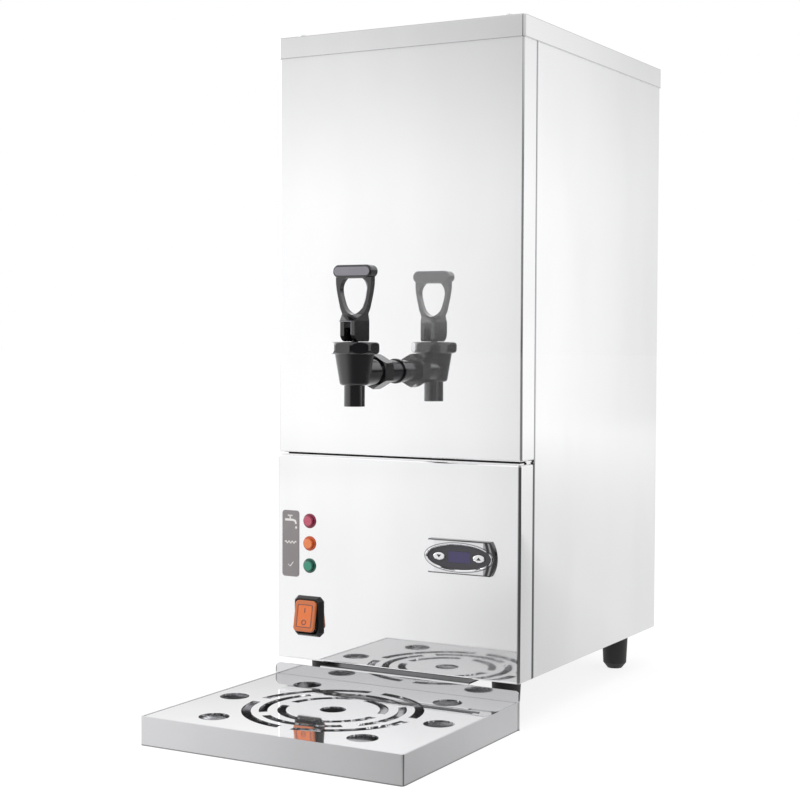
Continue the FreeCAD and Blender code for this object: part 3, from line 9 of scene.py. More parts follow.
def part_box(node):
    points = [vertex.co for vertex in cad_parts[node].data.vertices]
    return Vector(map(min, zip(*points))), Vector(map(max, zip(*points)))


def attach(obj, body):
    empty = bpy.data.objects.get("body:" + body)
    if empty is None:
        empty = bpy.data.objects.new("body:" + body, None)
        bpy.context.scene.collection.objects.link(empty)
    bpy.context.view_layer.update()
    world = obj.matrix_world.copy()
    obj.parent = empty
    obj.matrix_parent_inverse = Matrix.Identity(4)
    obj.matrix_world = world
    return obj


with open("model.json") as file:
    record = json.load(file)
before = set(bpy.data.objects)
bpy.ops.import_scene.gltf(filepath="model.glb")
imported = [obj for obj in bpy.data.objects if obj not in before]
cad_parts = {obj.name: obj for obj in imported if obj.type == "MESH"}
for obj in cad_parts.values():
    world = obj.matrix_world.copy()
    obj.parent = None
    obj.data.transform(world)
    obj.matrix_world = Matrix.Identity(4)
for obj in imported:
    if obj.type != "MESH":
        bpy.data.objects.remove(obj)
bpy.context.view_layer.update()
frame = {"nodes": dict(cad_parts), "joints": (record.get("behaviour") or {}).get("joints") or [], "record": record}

# Sizes are in metres, in the part's own frame: +Z up, -Y towards the user.

CAMERA_PLACE = (0.716718, -1.339058, 0.339022)
CAMERA_YAW = math.radians(29.3377)
CAMERA_DIP = math.radians(2.1936)
CAMERA_ROLL = math.radians(0.2387)
CAMERA_LENS = 73.04
SENSOR_WIDTH = 36.0

# The floor's fixed shades fan out from where the front and side panels mirror the camera, and are
# deepest round the middle of the booth's floor.
MIRRORED_EYE = (0.717, 1.195)
SIDE_EYE = (-0.467, -1.339)
BOOTH_FLOOR = (0.45, -0.75)

# How bright the studio, its left panel and the rest of the room are, and the floor's glow as the
# camera and as the steel see it, where 1 is white.
STUDIO_LEVEL = 1.08
PANEL_LEVEL = 2.2
ROOM_LEVEL = 0.72
FLOOR_TO_CAMERA = 1.14
FLOOR_TO_STEEL = 1.155

# How much of the floor glows to the camera and to the steel. The rest of it is matt.
GLOWING_TO_CAMERA = 0.72
GLOWING_TO_STEEL = 0.85

# How much light the booth and the studio's rear corner take away, from 0 to 1.
BOOTH_DEPTH = 0.95
CORNER_DEPTH = 0.24

# Half the width and height of the display bezel's raised oval lip.
LIP_HALF_WIDTH = 0.0330
LIP_HALF_HEIGHT = 0.0125

# Where the gap between the front panels is, where the side panels start, and half the tray's width.
SEAM_HEIGHT = 0.2309
LOWER_SIDE_FRONT = -0.0482
UPPER_SIDE_FRONT = -0.0463
TRAY_HALF_WIDTH = 0.1252

# The tap handle's front faces, with the right edges of its pocket and finger hole as (x, z) points, where painted
# highlights run.
BLOCK_FRONT = -0.1563
ARM_FRONT = -0.1460
POCKET_EDGE = [(-0.0080, 0.3529), (0.0039, 0.3529), (0.0039, 0.3420)]
FINGER_EDGE = [(0.0112, 0.3885), (0.0136, 0.3850), (0.0139, 0.3817), (0.0122, 0.3717),
               (0.0093, 0.3645), (0.0066, 0.3608)]

# The rocker's lean at rest, and how far its pivot and its face stand proud of the panel.
SWITCH_TILT = math.radians(10.5)
SWITCH_PIVOT_PROUD = 0.002
SWITCH_FACE_PROUD = 0.009

# The mirror sheet's roughness, and how far it is from pure metal.
MIRROR_ROUGHNESS = 0.025
MIRROR_HAZE = 0.075

STEEL_TONE = "f8f8f9"
TRAY_TONE = "dedee0"
# The tone of the painted shade and dark reflections along the steel's folds, joints and edges.
PAINTED_SHADE_TONE = "3c3c3e"
TAP_BLACK = "0e0d11"
PAD_GREY = "85838a"
RUBBER_BLACK = "1a1a1a"
LABEL_GREY = "8d8788"
SIGN_WHITE = "e9e6e4"
SWITCH_BLACK = "141414"
# The rocker's amber, in painted light on its middle and in painted shade on its rim.
AMBER_LIT_FACE = "ea7a3c"
AMBER_SHADED_RIM = "cf7240"
AMBER_LINE = "7c5a58"
FACE_GREY = "403e43"
WINDOW_VIOLET = "463f66"
# Each lens's tone in painted shade at its rim, then its paler tone in painted light on its face.
LAMP_TONES = {
    "lamp_red": ("8a1f3e", "cb5a74"),
    "lamp_amber": ("cc561c", "f28d50"),
    "lamp_green": ("0f5a48", "369a7c"),
}


def tone(code, alpha=1.0):
    """A screen colour such as "8d8788" as the linear colour that shaders take."""
    linear = []
    for start in (0, 2, 4):
        value = int(code[start:start + 2], 16) / 255
        linear.append(value / 12.92 if value <= 0.04045 else ((value + 0.055) / 1.055) ** 2.4)
    return (*linear, alpha)


class Value:
    """A shader node's output, which takes part in sums."""

    def __init__(self, graph, socket):
        self.graph = graph
        self.socket = socket

    def __add__(self, other):
        return self.graph.math("ADD", self, other)

    def __radd__(self, other):
        return self.graph.math("ADD", other, self)

    def __sub__(self, other):
        return self.graph.math("SUBTRACT", self, other)

    def __rsub__(self, other):
        return self.graph.math("SUBTRACT", other, self)

    def __mul__(self, other):
        return self.graph.math("MULTIPLY", self, other)

    def __rmul__(self, other):
        return self.graph.math("MULTIPLY", other, self)

    def __truediv__(self, other):
        return self.graph.math("DIVIDE", self, other)


class Graph:
    """The shader nodes of a material or of the world."""

    def __init__(self, owner):
        owner.use_nodes = True
        self.tree = owner.node_tree
        self.tree.nodes.clear()

    def node(self, kind, settings=None, inputs=None, output=0):
        """A new node with its settings, then its inputs' values or links."""
        made = self.tree.nodes.new("ShaderNode" + kind)
        for name, value in (settings or {}).items():
            setattr(made, name, value)
        for name, value in (inputs or {}).items():
            if isinstance(value, Value):
                self.tree.links.new(value.socket, made.inputs[name])
            else:
                made.inputs[name].default_value = value
        return Value(self, made.outputs[output]) if made.outputs else made

    def math(self, operation, first, second=0.0):
        """A Math node on two values."""
        return self.node("Math", {"operation": operation}, {0: first, 1: second})

    def highest(self, first, *others):
        """The highest of some values."""
        for other in others:
            first = self.math("MAXIMUM", first, other)
        return first

    def away(self, value, where):
        """The distance from a place along one axis."""
        return self.math("ABSOLUTE", value - where)

    def reach(self, across, along):
        """The distance from a point, from its parts along two axes."""
        return self.math("SQRT", across * across + along * along)

    def smooth(self, value, low, high):
        """A smooth step from 0 at low to 1 at high."""
        return self.node("MapRange", {"interpolation_type": "SMOOTHSTEP"},
                         {"Value": value, "From Min": low, "From Max": high})

    def mix(self, factor, first, second):
        """A colour between two colours."""
        return self.node("Mix", {"data_type": "RGBA"}, {0: factor, 6: first, 7: second}, 2)

    def place(self):
        """The place on the object, in metres."""
        return self.node("TexCoord", output="Object")

    def split(self, vector):
        """A vector's three parts."""
        made = self.node("SeparateXYZ", inputs={"Vector": vector})
        outputs = made.socket.node.outputs
        return [Value(self, outputs[index]) for index in range(3)]

    def scaled(self, vector, factors):
        """A vector stretched along each axis."""
        return self.node("VectorMath", {"operation": "MULTIPLY"}, {0: vector, 1: factors})

    def noise(self, vector, scale, detail=3.0):
        """Soft noise between 0 and 1."""
        return self.node("TexNoise", inputs={"Vector": vector, "Scale": scale, "Detail": detail})

    def bump(self, height, strength=1.0):
        """A surface direction from a height in metres."""
        return self.node("Bump", inputs={"Height": height, "Strength": strength, "Distance": 1.0})

    def ray_kinds(self):
        """Whether a ray comes from the camera, and whether it comes from a mirror or from glass."""
        rays = self.node("LightPath").socket.node.outputs
        camera, mirrored, through = (Value(self, rays["Is " + kind + " Ray"])
                                     for kind in ("Camera", "Glossy", "Transmission"))
        return camera, self.highest(mirrored, through)

    def surface(self, inputs):
        """The material's main shader."""
        shader = self.node("BsdfPrincipled", inputs=inputs)
        self.node("OutputMaterial", inputs={"Surface": shader})


def new_graph(name):
    """A new material and its nodes."""
    material = bpy.data.materials.new(name)
    return material, Graph(material)


def polished_steel(name, code, roughness, haze, lines=None):
    """Mirror-polished sheet: faint wiping marks, a slow waviness, a little haze, painted edge shade.

    The haze is one number or a function of the graph, and so are the painted shade lines, where there are any."""
    material, graph = new_graph(name)
    place = graph.place()
    wiping = graph.noise(graph.scaled(place, (1.0, 1.0, 0.35)), 14.0, 5.0)
    specks = graph.noise(place, 420.0, 2.0)
    wave = graph.noise(place, 5.0, 1.0)
    bright = tone(code)
    dull = tuple(0.965 * part for part in bright[:3]) + (1.0,)
    sheet = graph.mix(graph.smooth(wiping, 0.35, 0.75), bright, dull)
    # Paints shade and dark reflections along the steel's folds, joints and edges.
    if lines:
        sheet = graph.mix(lines(graph), sheet, tone(PAINTED_SHADE_TONE))
    graph.surface({
        "Base Color": sheet,
        "Metallic": 1.0 - (haze(graph) if callable(haze) else haze),
        "Roughness": roughness + 0.035 * graph.smooth(wiping, 0.5, 0.8) + 0.01 * specks,
        "Normal": graph.bump(wave * 0.00012 + specks * 0.0000015),
    })
    return material


def brushed_steel(name, code, roughness, grain, haze):
    """Sheet with fine grinding lines along its long way."""
    material, graph = new_graph(name)
    place = graph.place()
    lines = graph.noise(graph.scaled(place, grain), 1.0, 4.0)
    cloud = graph.noise(place, 22.0, 3.0)
    bright = tone(code)
    dull = tuple(0.86 * part for part in bright[:3]) + (1.0,)
    graph.surface({
        "Base Color": graph.mix(graph.smooth(lines, 0.3, 0.75), bright, dull),
        "Metallic": 1.0 - haze,
        "Roughness": roughness + 0.08 * lines + 0.05 * cloud,
        "Normal": graph.bump(lines * 0.000012 + cloud * 0.00002),
    })
    return material


def plastic(name, code, roughness, grain_scale, grain_height, coat=0.0):
    """Moulded plastic with a fine grain and slightly uneven gloss."""
    material, graph = new_graph(name)
    place = graph.place()
    grain = graph.noise(place, grain_scale, 2.0)
    cloud = graph.noise(place, 60.0, 3.0)
    base = tone(code)
    pale = tuple(1.25 * part + 0.002 for part in base[:3]) + (1.0,)
    graph.surface({
        "Base Color": graph.mix(0.5 * graph.smooth(cloud, 0.35, 0.8), base, pale),
        "Roughness": roughness + 0.08 * graph.smooth(cloud, 0.4, 0.8),
        "Coat Weight": coat,
        "Normal": graph.bump(grain * grain_height),
    })
    return material


def rubber(name, code):
    """Matt rubber, a little dusty in patches."""
    material, graph = new_graph(name)
    place = graph.place()
    grain = graph.noise(place, 700.0, 3.0)
    dust = graph.smooth(graph.noise(place, 45.0, 4.0), 0.5, 0.85)
    graph.surface({
        "Base Color": graph.mix(dust * 0.35, tone(code), tone("3a3938")),
        "Roughness": 0.5 + 0.2 * dust,
        "Normal": graph.bump(grain * 0.00001),
    })
    return material


def lamp_plastic(name, shaded_tone, clear, centre):
    """Tinted lens with moulded rings, paler on its face in painted light and darker at its rim in painted shade.
    """
    material, graph = new_graph(name)
    x, _, z = graph.split(graph.place())
    radius = graph.reach(x - centre[0], z - centre[2])
    # The face is painted paler, as lit, and the rim darker, as shaded.
    face = 1.0 - graph.smooth(radius, 0.0036, 0.0047)
    rings = graph.math("SINE", radius * 9000.0)
    facets = graph.noise(graph.place(), 900.0, 1.0)
    graph.surface({
        "Base Color": graph.mix(face * (0.75 + 0.25 * facets), tone(shaded_tone), tone(clear)),
        "Roughness": 0.16 + 0.1 * facets,
        "Coat Weight": 0.4,
        "Normal": graph.bump(rings * face * 0.000018),
    })
    return material


def amber_plastic(name, centre):
    """The rocker's amber face: painted shade on its rim round a middle painted paler, as lit."""
    material, graph = new_graph(name)
    x, _, z = graph.split(graph.place())
    # Painted shade on the rim, round a paler middle painted as lit.
    rim = graph.highest(graph.smooth(graph.away(x, centre[0]), 0.0062, 0.0096),
                        graph.smooth(graph.away(z, centre[2]), 0.0085, 0.0125))
    cloud = graph.noise(graph.place(), 160.0, 3.0)
    graph.surface({
        "Base Color": graph.mix(rim, tone(AMBER_LIT_FACE), tone(AMBER_SHADED_RIM)),
        "Roughness": 0.24 + 0.12 * cloud,
        "Coat Weight": 0.3,
        "Normal": graph.bump(cloud * 0.00002),
    })
    return material


def window_glass(name, centre):
    """The display's unlit window: violet in the middle, dark towards its edges."""
    material, graph = new_graph(name)
    x, _, z = graph.split(graph.place())
    edge = graph.highest(graph.smooth(graph.away(x, centre[0]), 0.0085, 0.0125),
                         graph.smooth(graph.away(z, centre[2]), 0.0040, 0.0058))
    cells = graph.noise(graph.place(), 1500.0, 1.0)
    graph.surface({
        "Base Color": graph.mix(edge * 0.7 + cells * 0.1, tone(WINDOW_VIOLET), tone(FACE_GREY)),
        "Roughness": 0.07 + 0.05 * cells,
    })
    return material


def foam(name, code):
    """Open-celled insulation foam."""
    material, graph = new_graph(name)
    place = graph.place()
    cells = graph.node("TexVoronoi", inputs={"Vector": place, "Scale": 380.0})
    graph.surface({
        "Base Color": graph.mix(graph.smooth(cells, 0.2, 0.7), tone(code), tone("55554f")),
        "Roughness": 0.9 + 0.05 * cells,
        "Normal": graph.bump(cells * 0.0003),
    })
    return material


def circuit_board(name):
    """Green board with copper tracks under the varnish."""
    material, graph = new_graph(name)
    place = graph.place()
    flat = graph.scaled(place, (1.0, 1.0, 0.0))
    tracks = graph.node("TexBrick", inputs={"Vector": flat, "Scale": 90.0, "Mortar Size": 0.03},
                        output=1)
    cloud = graph.noise(place, 120.0, 3.0)
    graph.surface({
        "Base Color": graph.mix(tracks, tone("14492a"), tone("3d7a45")),
        "Roughness": 0.3 + 0.2 * cloud,
        "Normal": graph.bump(tracks * 0.00003),
    })
    return material


def middle(node):
    """The middle of a node's box."""
    low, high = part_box(node)
    return (Vector(low) + Vector(high)) / 2


def line_mask(graph, value, where, half, soft=0.0004):
    """1 within a distance of a place along one axis, and 0 elsewhere."""
    return 1.0 - graph.smooth(graph.away(value, where), half - soft, half + soft)


def tray_painted_shade(graph):
    """Painted shade and dark reflections along the tray's folded edges: its front's sides and foot, and the
    upstand's outline.
    """
    low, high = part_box("drip_tray")
    x, y, z = graph.split(graph.place())
    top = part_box("drip_grille")[1][2]
    body = 1.0 - graph.smooth(z, top + 0.001, top + 0.002)
    foot = line_mask(graph, z, low[2], 0.0009)
    side = graph.math("ABSOLUTE", x)
    corner = line_mask(graph, side, TRAY_HALF_WIDTH, 0.0008) * line_mask(graph, y, low[1], 0.0016)
    rim = line_mask(graph, z, high[2], 0.0008)
    upstand_side = line_mask(graph, side, high[0], 0.0009) * (1.0 - body)
    return 0.8 * graph.highest(foot * 0.85, corner, rim, upstand_side)


def side_painted_shade(graph):
    """Painted shade in the joint at the side panels' leading edges, darker beside the lower front panel."""
    _, y, z = graph.split(graph.place())
    lower = 1.0 - graph.smooth(z, SEAM_HEIGHT - 0.001, SEAM_HEIGHT + 0.001)
    beside_lower = line_mask(graph, y, LOWER_SIDE_FRONT + 0.0014, 0.0022, 0.0010) * lower
    beside_upper = line_mask(graph, y, UPPER_SIDE_FRONT + 0.0008, 0.0015, 0.0010) * (1.0 - lower)
    return beside_lower * 0.93 + beside_upper * 0.6


def fold_painted_reflection(graph):
    """Painted dark reflection on the lower front panel's bend, on the side towards the dark booth."""
    low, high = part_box("lower_front_panel")
    x, y, _ = graph.split(graph.place())
    end = graph.smooth(x, high[0] - 0.0032, high[0] - 0.0016)
    front = 1.0 - graph.smooth(y, low[1] + 0.0010, low[1] + 0.0022)
    return 0.73 * end * front


def bezel_painted_reflections(graph):
    """Painted dark reflections on the chrome along the bezel's top, foot and oval lip, and in two bands at its
    right end.
    """
    low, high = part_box("display_bezel")
    centre = middle("display_window")
    x, _, z = graph.split(graph.place())
    rise = graph.away(z, (low[2] + high[2]) / 2)
    half_height = (high[2] - low[2]) / 2
    edge = graph.smooth(rise, half_height - 0.0016, half_height - 0.0007)
    end = graph.smooth(x + rise * 0.28, high[0] - 0.0026, high[0] - 0.0012)
    band = line_mask(graph, x + rise * rise * 12.0, high[0] - 0.0062, 0.0014, 0.0008)
    oval = graph.reach((x - centre[0]) / LIP_HALF_WIDTH, rise / LIP_HALF_HEIGHT)
    ring = line_mask(graph, oval, 1.035, 0.028, 0.016)
    return 0.9 * graph.highest(edge, end, band, 0.8 * ring)


def upper_painted_haze(graph):
    """The upper front panel's haze, raised in a band behind the tap's handle to paint its reflection paler there.
    """
    z = graph.split(graph.place())[2]
    return MIRROR_HAZE + 0.13 * graph.smooth(z, 0.325, 0.375)


def lid_painted_shade(graph):
    """Painted shade and dark reflections along the lid's folded top edge and its cut foot, on its outer sides
    only.
    """
    low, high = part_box("lid")
    x, y, z = graph.split(graph.place())
    sides = [(graph.math("ABSOLUTE", x), high[0]),
             (graph.away(y, (low[1] + high[1]) / 2), (high[1] - low[1]) / 2)]
    outer = graph.highest(*(graph.smooth(distance, half - 0.0011, half - 0.0003)
                            for distance, half in sides))
    upper = line_mask(graph, z, high[2], 0.0008)
    foot = line_mask(graph, z, low[2], 0.0006)
    return 0.62 * graph.highest(upper, 0.7 * foot) * outer


mirror = polished_steel("mirror_steel", STEEL_TONE, MIRROR_ROUGHNESS, MIRROR_HAZE)
upper_steel = polished_steel("upper_steel", STEEL_TONE, MIRROR_ROUGHNESS, upper_painted_haze)
lid_steel = polished_steel("lid_steel", STEEL_TONE, MIRROR_ROUGHNESS, MIRROR_HAZE, lid_painted_shade)
side_steel = polished_steel("side_steel", STEEL_TONE, MIRROR_ROUGHNESS, MIRROR_HAZE, side_painted_shade)
fold_steel = polished_steel("fold_steel", STEEL_TONE, MIRROR_ROUGHNESS, MIRROR_HAZE, fold_painted_reflection)
tray_steel = polished_steel("tray_steel", TRAY_TONE, 0.06, 0.08, tray_painted_shade)
grille_steel = polished_steel("grille_steel", "eeeeef", 0.03, 0.08)
bright_metal = polished_steel("bright_metal", "e6e6e8", 0.12, 0.05)
inner_steel = brushed_steel("inner_steel", "b9babc", 0.28, (60.0, 60.0, 1400.0), 0.05)
shank_metal = polished_steel("shank_metal", "5c5c5f", 0.14, 0.1)
bezel_chrome = polished_steel("bezel_chrome", "eeeef0", 0.05, 0.04, bezel_painted_reflections)
button_chrome = polished_steel("button_chrome", "f2f2f4", 0.1, 0.1)
tap_black = plastic("tap_black", TAP_BLACK, 0.13, 1400.0, 0.000003, 1.0)
pad_grey = plastic("pad_grey", PAD_GREY, 0.38, 1800.0, 0.000006)
# A pale grey that paints highlights on the tap handle's edges.
painted_highlight_grey = plastic("painted_highlight_grey", "8e8b92", 0.35, 1400.0, 0.000003)
foot_rubber = rubber("foot_rubber", RUBBER_BLACK)
seal_rubber = rubber("seal_rubber", "2c2522")
label_grey = plastic("label_grey", LABEL_GREY, 0.4, 2200.0, 0.000003)
sign_white = plastic("sign_white", SIGN_WHITE, 0.5, 2200.0, 0.000002)
switch_black = plastic("switch_black", SWITCH_BLACK, 0.34, 1500.0, 0.000006)
sign_brown = plastic("sign_brown", AMBER_LINE, 0.45, 1500.0, 0.000003)
face_grey = plastic("face_grey", FACE_GREY, 0.3, 1900.0, 0.000003)
arrow_dark = plastic("arrow_dark", "3a3a3d", 0.4, 1900.0, 0.000002)
white_plastic = plastic("white_plastic", "dedcd4", 0.42, 1200.0, 0.000008)
black_plastic = plastic("black_plastic", "202022", 0.45, 1200.0, 0.000008)
amber = amber_plastic("amber_face", middle("switch_lens"))
window = window_glass("display_window", middle("display_window"))
grey_foam = foam("grey_foam", "8b8b84")
board_green = circuit_board("board_green")
lamp_materials = {}
for lamp_name, (shaded_tone, clear) in LAMP_TONES.items():
    lamp_materials[lamp_name] = lamp_plastic(lamp_name + "_lens", shaded_tone, clear, middle(lamp_name))

slot_materials = {
    "casing_steel": mirror,
    "tray_steel": tray_steel,
    "grille_steel": grille_steel,
    "screw_steel": bright_metal,
    "inner_steel": inner_steel,
    "foot_rubber": foot_rubber,
    "tap_plastic": tap_black,
    "pad_grey": pad_grey,
    "tap_metal": shank_metal,
    "seal_rubber": seal_rubber,
    "lamp_red": lamp_materials["lamp_red"],
    "lamp_amber": lamp_materials["lamp_amber"],
    "lamp_green": lamp_materials["lamp_green"],
    "label_grey": label_grey,
    "switch_black": switch_black,
    "switch_amber": amber,
    "bezel_chrome": bezel_chrome,
    "display_black": face_grey,
    "window_violet": window,
    "foam": grey_foam,
    "board_green": board_green,
    "plastic_white": white_plastic,
    "plastic_black": black_plastic,
}
own_materials = {
    "button_down": button_chrome,
    "button_up": button_chrome,
    "left_side_panel": side_steel,
    "right_side_panel": side_steel,
    "lower_front_panel": fold_steel,
    "upper_front_panel": upper_steel,
    "lid": lid_steel,
}


def dress_nodes():
    """Give every carried-over node its own material, or else the one of its slot in the record."""
    slots = {part["node"]: part["material_slot"] for part in frame["record"]["subparts"]}
    for name, node in frame["nodes"].items():
        node.data.materials.clear()
        node.data.materials.append(own_materials.get(name, slot_materials[slots[name]]))


def new_object(name, mesh, material):
    """Put a bmesh into the scene."""
    data = bpy.data.meshes.new(name)
    mesh.to_mesh(data)
    mesh.free()
    data.materials.append(material)
    made = bpy.data.objects.new(name, data)
    bpy.context.scene.collection.objects.link(made)
    return made


def new_piece(name, mesh, material, body):
    """Put a bmesh into the scene as a piece that rides on a body."""
    bmesh.ops.recalc_face_normals(mesh, faces=mesh.faces)
    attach(new_object(name, mesh, material), body)


def ribbon(mesh, points, width, face_y, thickness, closed=False):
    """A flat line of one width, along (x, z) points on a face that looks to -Y."""
    count = len(points)
    rims = []
    for index, point in enumerate(points):
        before = points[(index - 1) % count] if closed or index > 0 else point
        after = points[(index + 1) % count] if closed or index < count - 1 else point
        along = (Vector(after) - Vector(before)).normalized()
        across = Vector((-along.y, along.x)) * width / 2
        corners = []
        for side in (1, -1):
            spot = Vector(point) + across * side
            for y in (face_y, face_y - thickness):
                corners.append(mesh.verts.new((spot.x, y, spot.y)))
        rims.append(corners)
    pairs = list(zip(rims, rims[1:]))
    if closed:
        pairs.append((rims[-1], rims[0]))
    for first, second in pairs:
        for a, b in ((0, 1), (1, 3), (3, 2), (2, 0)):
            mesh.faces.new((first[a], first[b], second[b], second[a]))
    if not closed:
        for end in (rims[0], rims[-1]):
            mesh.faces.new((end[0], end[1], end[3], end[2]))


def solid_outline(mesh, points, face_y, thickness):
    """A flat plate with a given (x, z) outline on a face that looks to -Y."""
    front = [mesh.verts.new((x, face_y - thickness, z)) for x, z in points]
    back = [mesh.verts.new((x, face_y, z)) for x, z in points]
    mesh.faces.new(front)
    mesh.faces.new(list(reversed(back)))
    count = len(points)
    for index in range(count):
        following = (index + 1) % count
        mesh.faces.new((front[index], front[following], back[following], back[index]))


def circle_points(centre_x, centre_z, radius, count=28):
    """Points round a circle."""
    points = []
    for step in range(count):
        angle = 2 * math.pi * step / count
        points.append((centre_x + radius * math.cos(angle), centre_z + radius * math.sin(angle)))
    return points


def rounded_rectangle(centre_x, centre_z, width, height, corner, steps=5):
    """Points round a rectangle with rounded corners."""
    points = []
    for quarter, (side_x, side_z) in enumerate(((1, 1), (-1, 1), (-1, -1), (1, -1))):
        x = centre_x + side_x * (width / 2 - corner)
        z = centre_z + side_z * (height / 2 - corner)
        for step in range(steps + 1):
            angle = math.pi / 2 * (quarter + step / steps)
            points.append((x + corner * math.cos(angle), z + corner * math.sin(angle)))
    return points


def label_signs():
    """The label's three signs beside the lamps: a tap, a heating coil and a tick."""
    low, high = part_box("label_plate")
    x = (low[0] + high[0]) / 2
    face = low[1]
    ink = 0.00006
    mesh = bmesh.new()
    tap_z = middle("lamp_red").z
    ribbon(mesh, [(x - 0.0062, tap_z), (x + 0.0022, tap_z), (x + 0.0050, tap_z - 0.0008),
                  (x + 0.0060, tap_z - 0.0036)], 0.0021, face, ink)
    ribbon(mesh, [(x - 0.0006, tap_z + 0.0010), (x - 0.0006, tap_z + 0.0038)], 0.0013, face, ink)
    ribbon(mesh, [(x - 0.0032, tap_z + 0.0040), (x + 0.0020, tap_z + 0.0040)], 0.0012, face, ink)
    drop = []
    for step in range(12):
        angle = step * math.pi / 6
        half = 0.0011 * (1 - 0.5 * (step < 3 or step > 9))
        drop.append((x + 0.0060 + half * math.sin(angle),
                     tap_z - 0.0068 + 0.0014 * math.cos(angle)))
    solid_outline(mesh, drop, face, ink)
    coil_z = middle("lamp_amber").z
    wave = []
    for step in range(49):
        part = step / 48
        wave.append((x - 0.0062 + 0.0124 * part, coil_z + 0.0010 * math.sin(part * 7 * math.pi)))
    ribbon(mesh, wave, 0.0009, face, ink)
    tick_z = middle("lamp_green").z
    tick = [(x - 0.0026, tick_z), (x - 0.0006, tick_z - 0.0020), (x + 0.0030, tick_z + 0.0024)]
    ribbon(mesh, tick, 0.0008, face, ink)
    new_piece("label_signs", mesh, sign_white, "casing")


def switch_signs():
    """The rocker's raised frame with its on and off marks."""
    pivot = next(j for j in frame["joints"] if j["name"] == "switch_rock")["pos_m"]
    face = pivot[1] - (SWITCH_FACE_PROUD - SWITCH_PIVOT_PROUD)
    x, z = pivot[0], pivot[2]
    raise_by = 0.00025
    mesh = bmesh.new()
    frame_line = rounded_rectangle(x, z, 0.0156, 0.0206, 0.0009)
    ribbon(mesh, frame_line, 0.0007, face, raise_by, closed=True)
    ribbon(mesh, [(x, z + 0.0030), (x, z + 0.0074)], 0.0008, face, raise_by)
    ribbon(mesh, circle_points(x, z - 0.0058, 0.0021), 0.0008, face, raise_by, closed=True)
    turn = (Matrix.Translation(pivot) @ Matrix.Rotation(-SWITCH_TILT, 4, "X")
            @ Matrix.Translation(-Vector(pivot)))
    bmesh.ops.transform(mesh, matrix=turn, verts=mesh.verts)
    new_piece("switch_signs", mesh, sign_brown, "rocker")


def seam_strip():
    """The folded edge that closes the lower half of the gap between the two front panels."""
    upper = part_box("upper_front_panel")
    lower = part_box("lower_front_panel")
    low, high = lower[1][2] - 0.0006, lower[1][2] + 0.0011
    front = upper[0][1] + 0.0006
    half = upper[1][0] - 0.0018
    mesh = bmesh.new()
    section = [(front + 0.0008, low), (front, low + 0.0006), (front, high - 0.0004),
               (front + 0.0003, high - 0.0001), (front + 0.0008, high), (front + 0.0080, high),
               (front + 0.0080, low)]
    rims = [[mesh.verts.new((x, y, z)) for y, z in section] for x in (-half, half)]
    count = len(section)
    for index in range(count):
        following = (index + 1) % count
        mesh.faces.new((rims[0][index], rims[0][following], rims[1][following], rims[1][index]))
    mesh.faces.new(rims[0])
    mesh.faces.new(list(reversed(rims[1])))
    new_piece("seam_strip", mesh, mirror, "casing")


def edge_highlights():
    """Painted highlights: thin pale lines where the tap handle's pocket and finger hole catch the light."""
    mesh = bmesh.new()
    ribbon(mesh, POCKET_EDGE, 0.0006, BLOCK_FRONT, 0.00005)
    ribbon(mesh, FINGER_EDGE, 0.0006, ARM_FRONT, 0.00005)
    new_piece("handle_painted_highlights", mesh, painted_highlight_grey, "handle")


def arrow_sign(node, body, pointing):
    """A small triangle on a button, pointing up (1) or down (-1)."""
    low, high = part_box(node)
    centre = middle(node)
    mesh = bmesh.new()
    half_width, half_height = 0.0023, 0.0014
    points = [(centre.x - half_width, centre.z - pointing * half_height),
              (centre.x + half_width, centre.z - pointing * half_height),
              (centre.x, centre.z + pointing * half_height)]
    solid_outline(mesh, points, low[1] + 0.00002, 0.00004)
    new_piece(node + "_arrow", mesh, arrow_dark, body)


def add_floor():
    """The pale floor, which keeps the part's shadow and shows white to the camera and in the steel.

    In the steel it is dimmer along the booth, round the part and towards the rear corner."""
    material, graph = new_graph("floor")
    camera, glossy = graph.ray_kinds()
    x, y, _ = graph.split(graph.node("NewGeometry", output="Position"))
    heading = graph.math("ARCTAN2", MIRRORED_EYE[0] - x, MIRRORED_EYE[1] - y)
    booth_reach = graph.reach(x - BOOTH_FLOOR[0], y - BOOTH_FLOOR[1])
    near_booth = 1.0 - graph.smooth(booth_reach, 0.2, 0.85)
    near_part = 1.0 - graph.smooth(graph.math("ABSOLUTE", y), 0.5, 4.5)
    part_shade = (0.14 + 0.15 * graph.smooth(y, -0.15, 0.1)) * near_part
    side_heading = graph.math("ARCTAN2", SIDE_EYE[0] - x, SIDE_EYE[1] - y)
    corner = rear_fade(graph, side_heading) * graph.smooth(y, 1.0, 6.0)
    level = (booth_level(graph, heading) * (1.0 - 0.5 * near_booth) * (1.0 - part_shade)
             * (1.0 - CORNER_DEPTH * corner))
    white = graph.node("Emission", inputs={"Color": (1.0, 1.0, 1.0, 1.0),
                                           "Strength": FLOOR_TO_STEEL})
    share = camera * (FLOOR_TO_CAMERA / FLOOR_TO_STEEL) + glossy * level
    glow = graph.node("MixShader", inputs={0: share, 2: white})
    matt = graph.node("BsdfDiffuse", inputs={"Color": tone("f4f4f4")})
    seen = graph.highest(camera * GLOWING_TO_CAMERA, glossy * GLOWING_TO_STEEL)
    shader = graph.node("MixShader", inputs={0: seen, 1: matt, 2: glow})
    graph.node("OutputMaterial", inputs={"Surface": shader})
    mesh = bmesh.new()
    bmesh.ops.create_grid(mesh, x_segments=2, y_segments=2, size=30.0)
    new_object("floor", mesh, material)


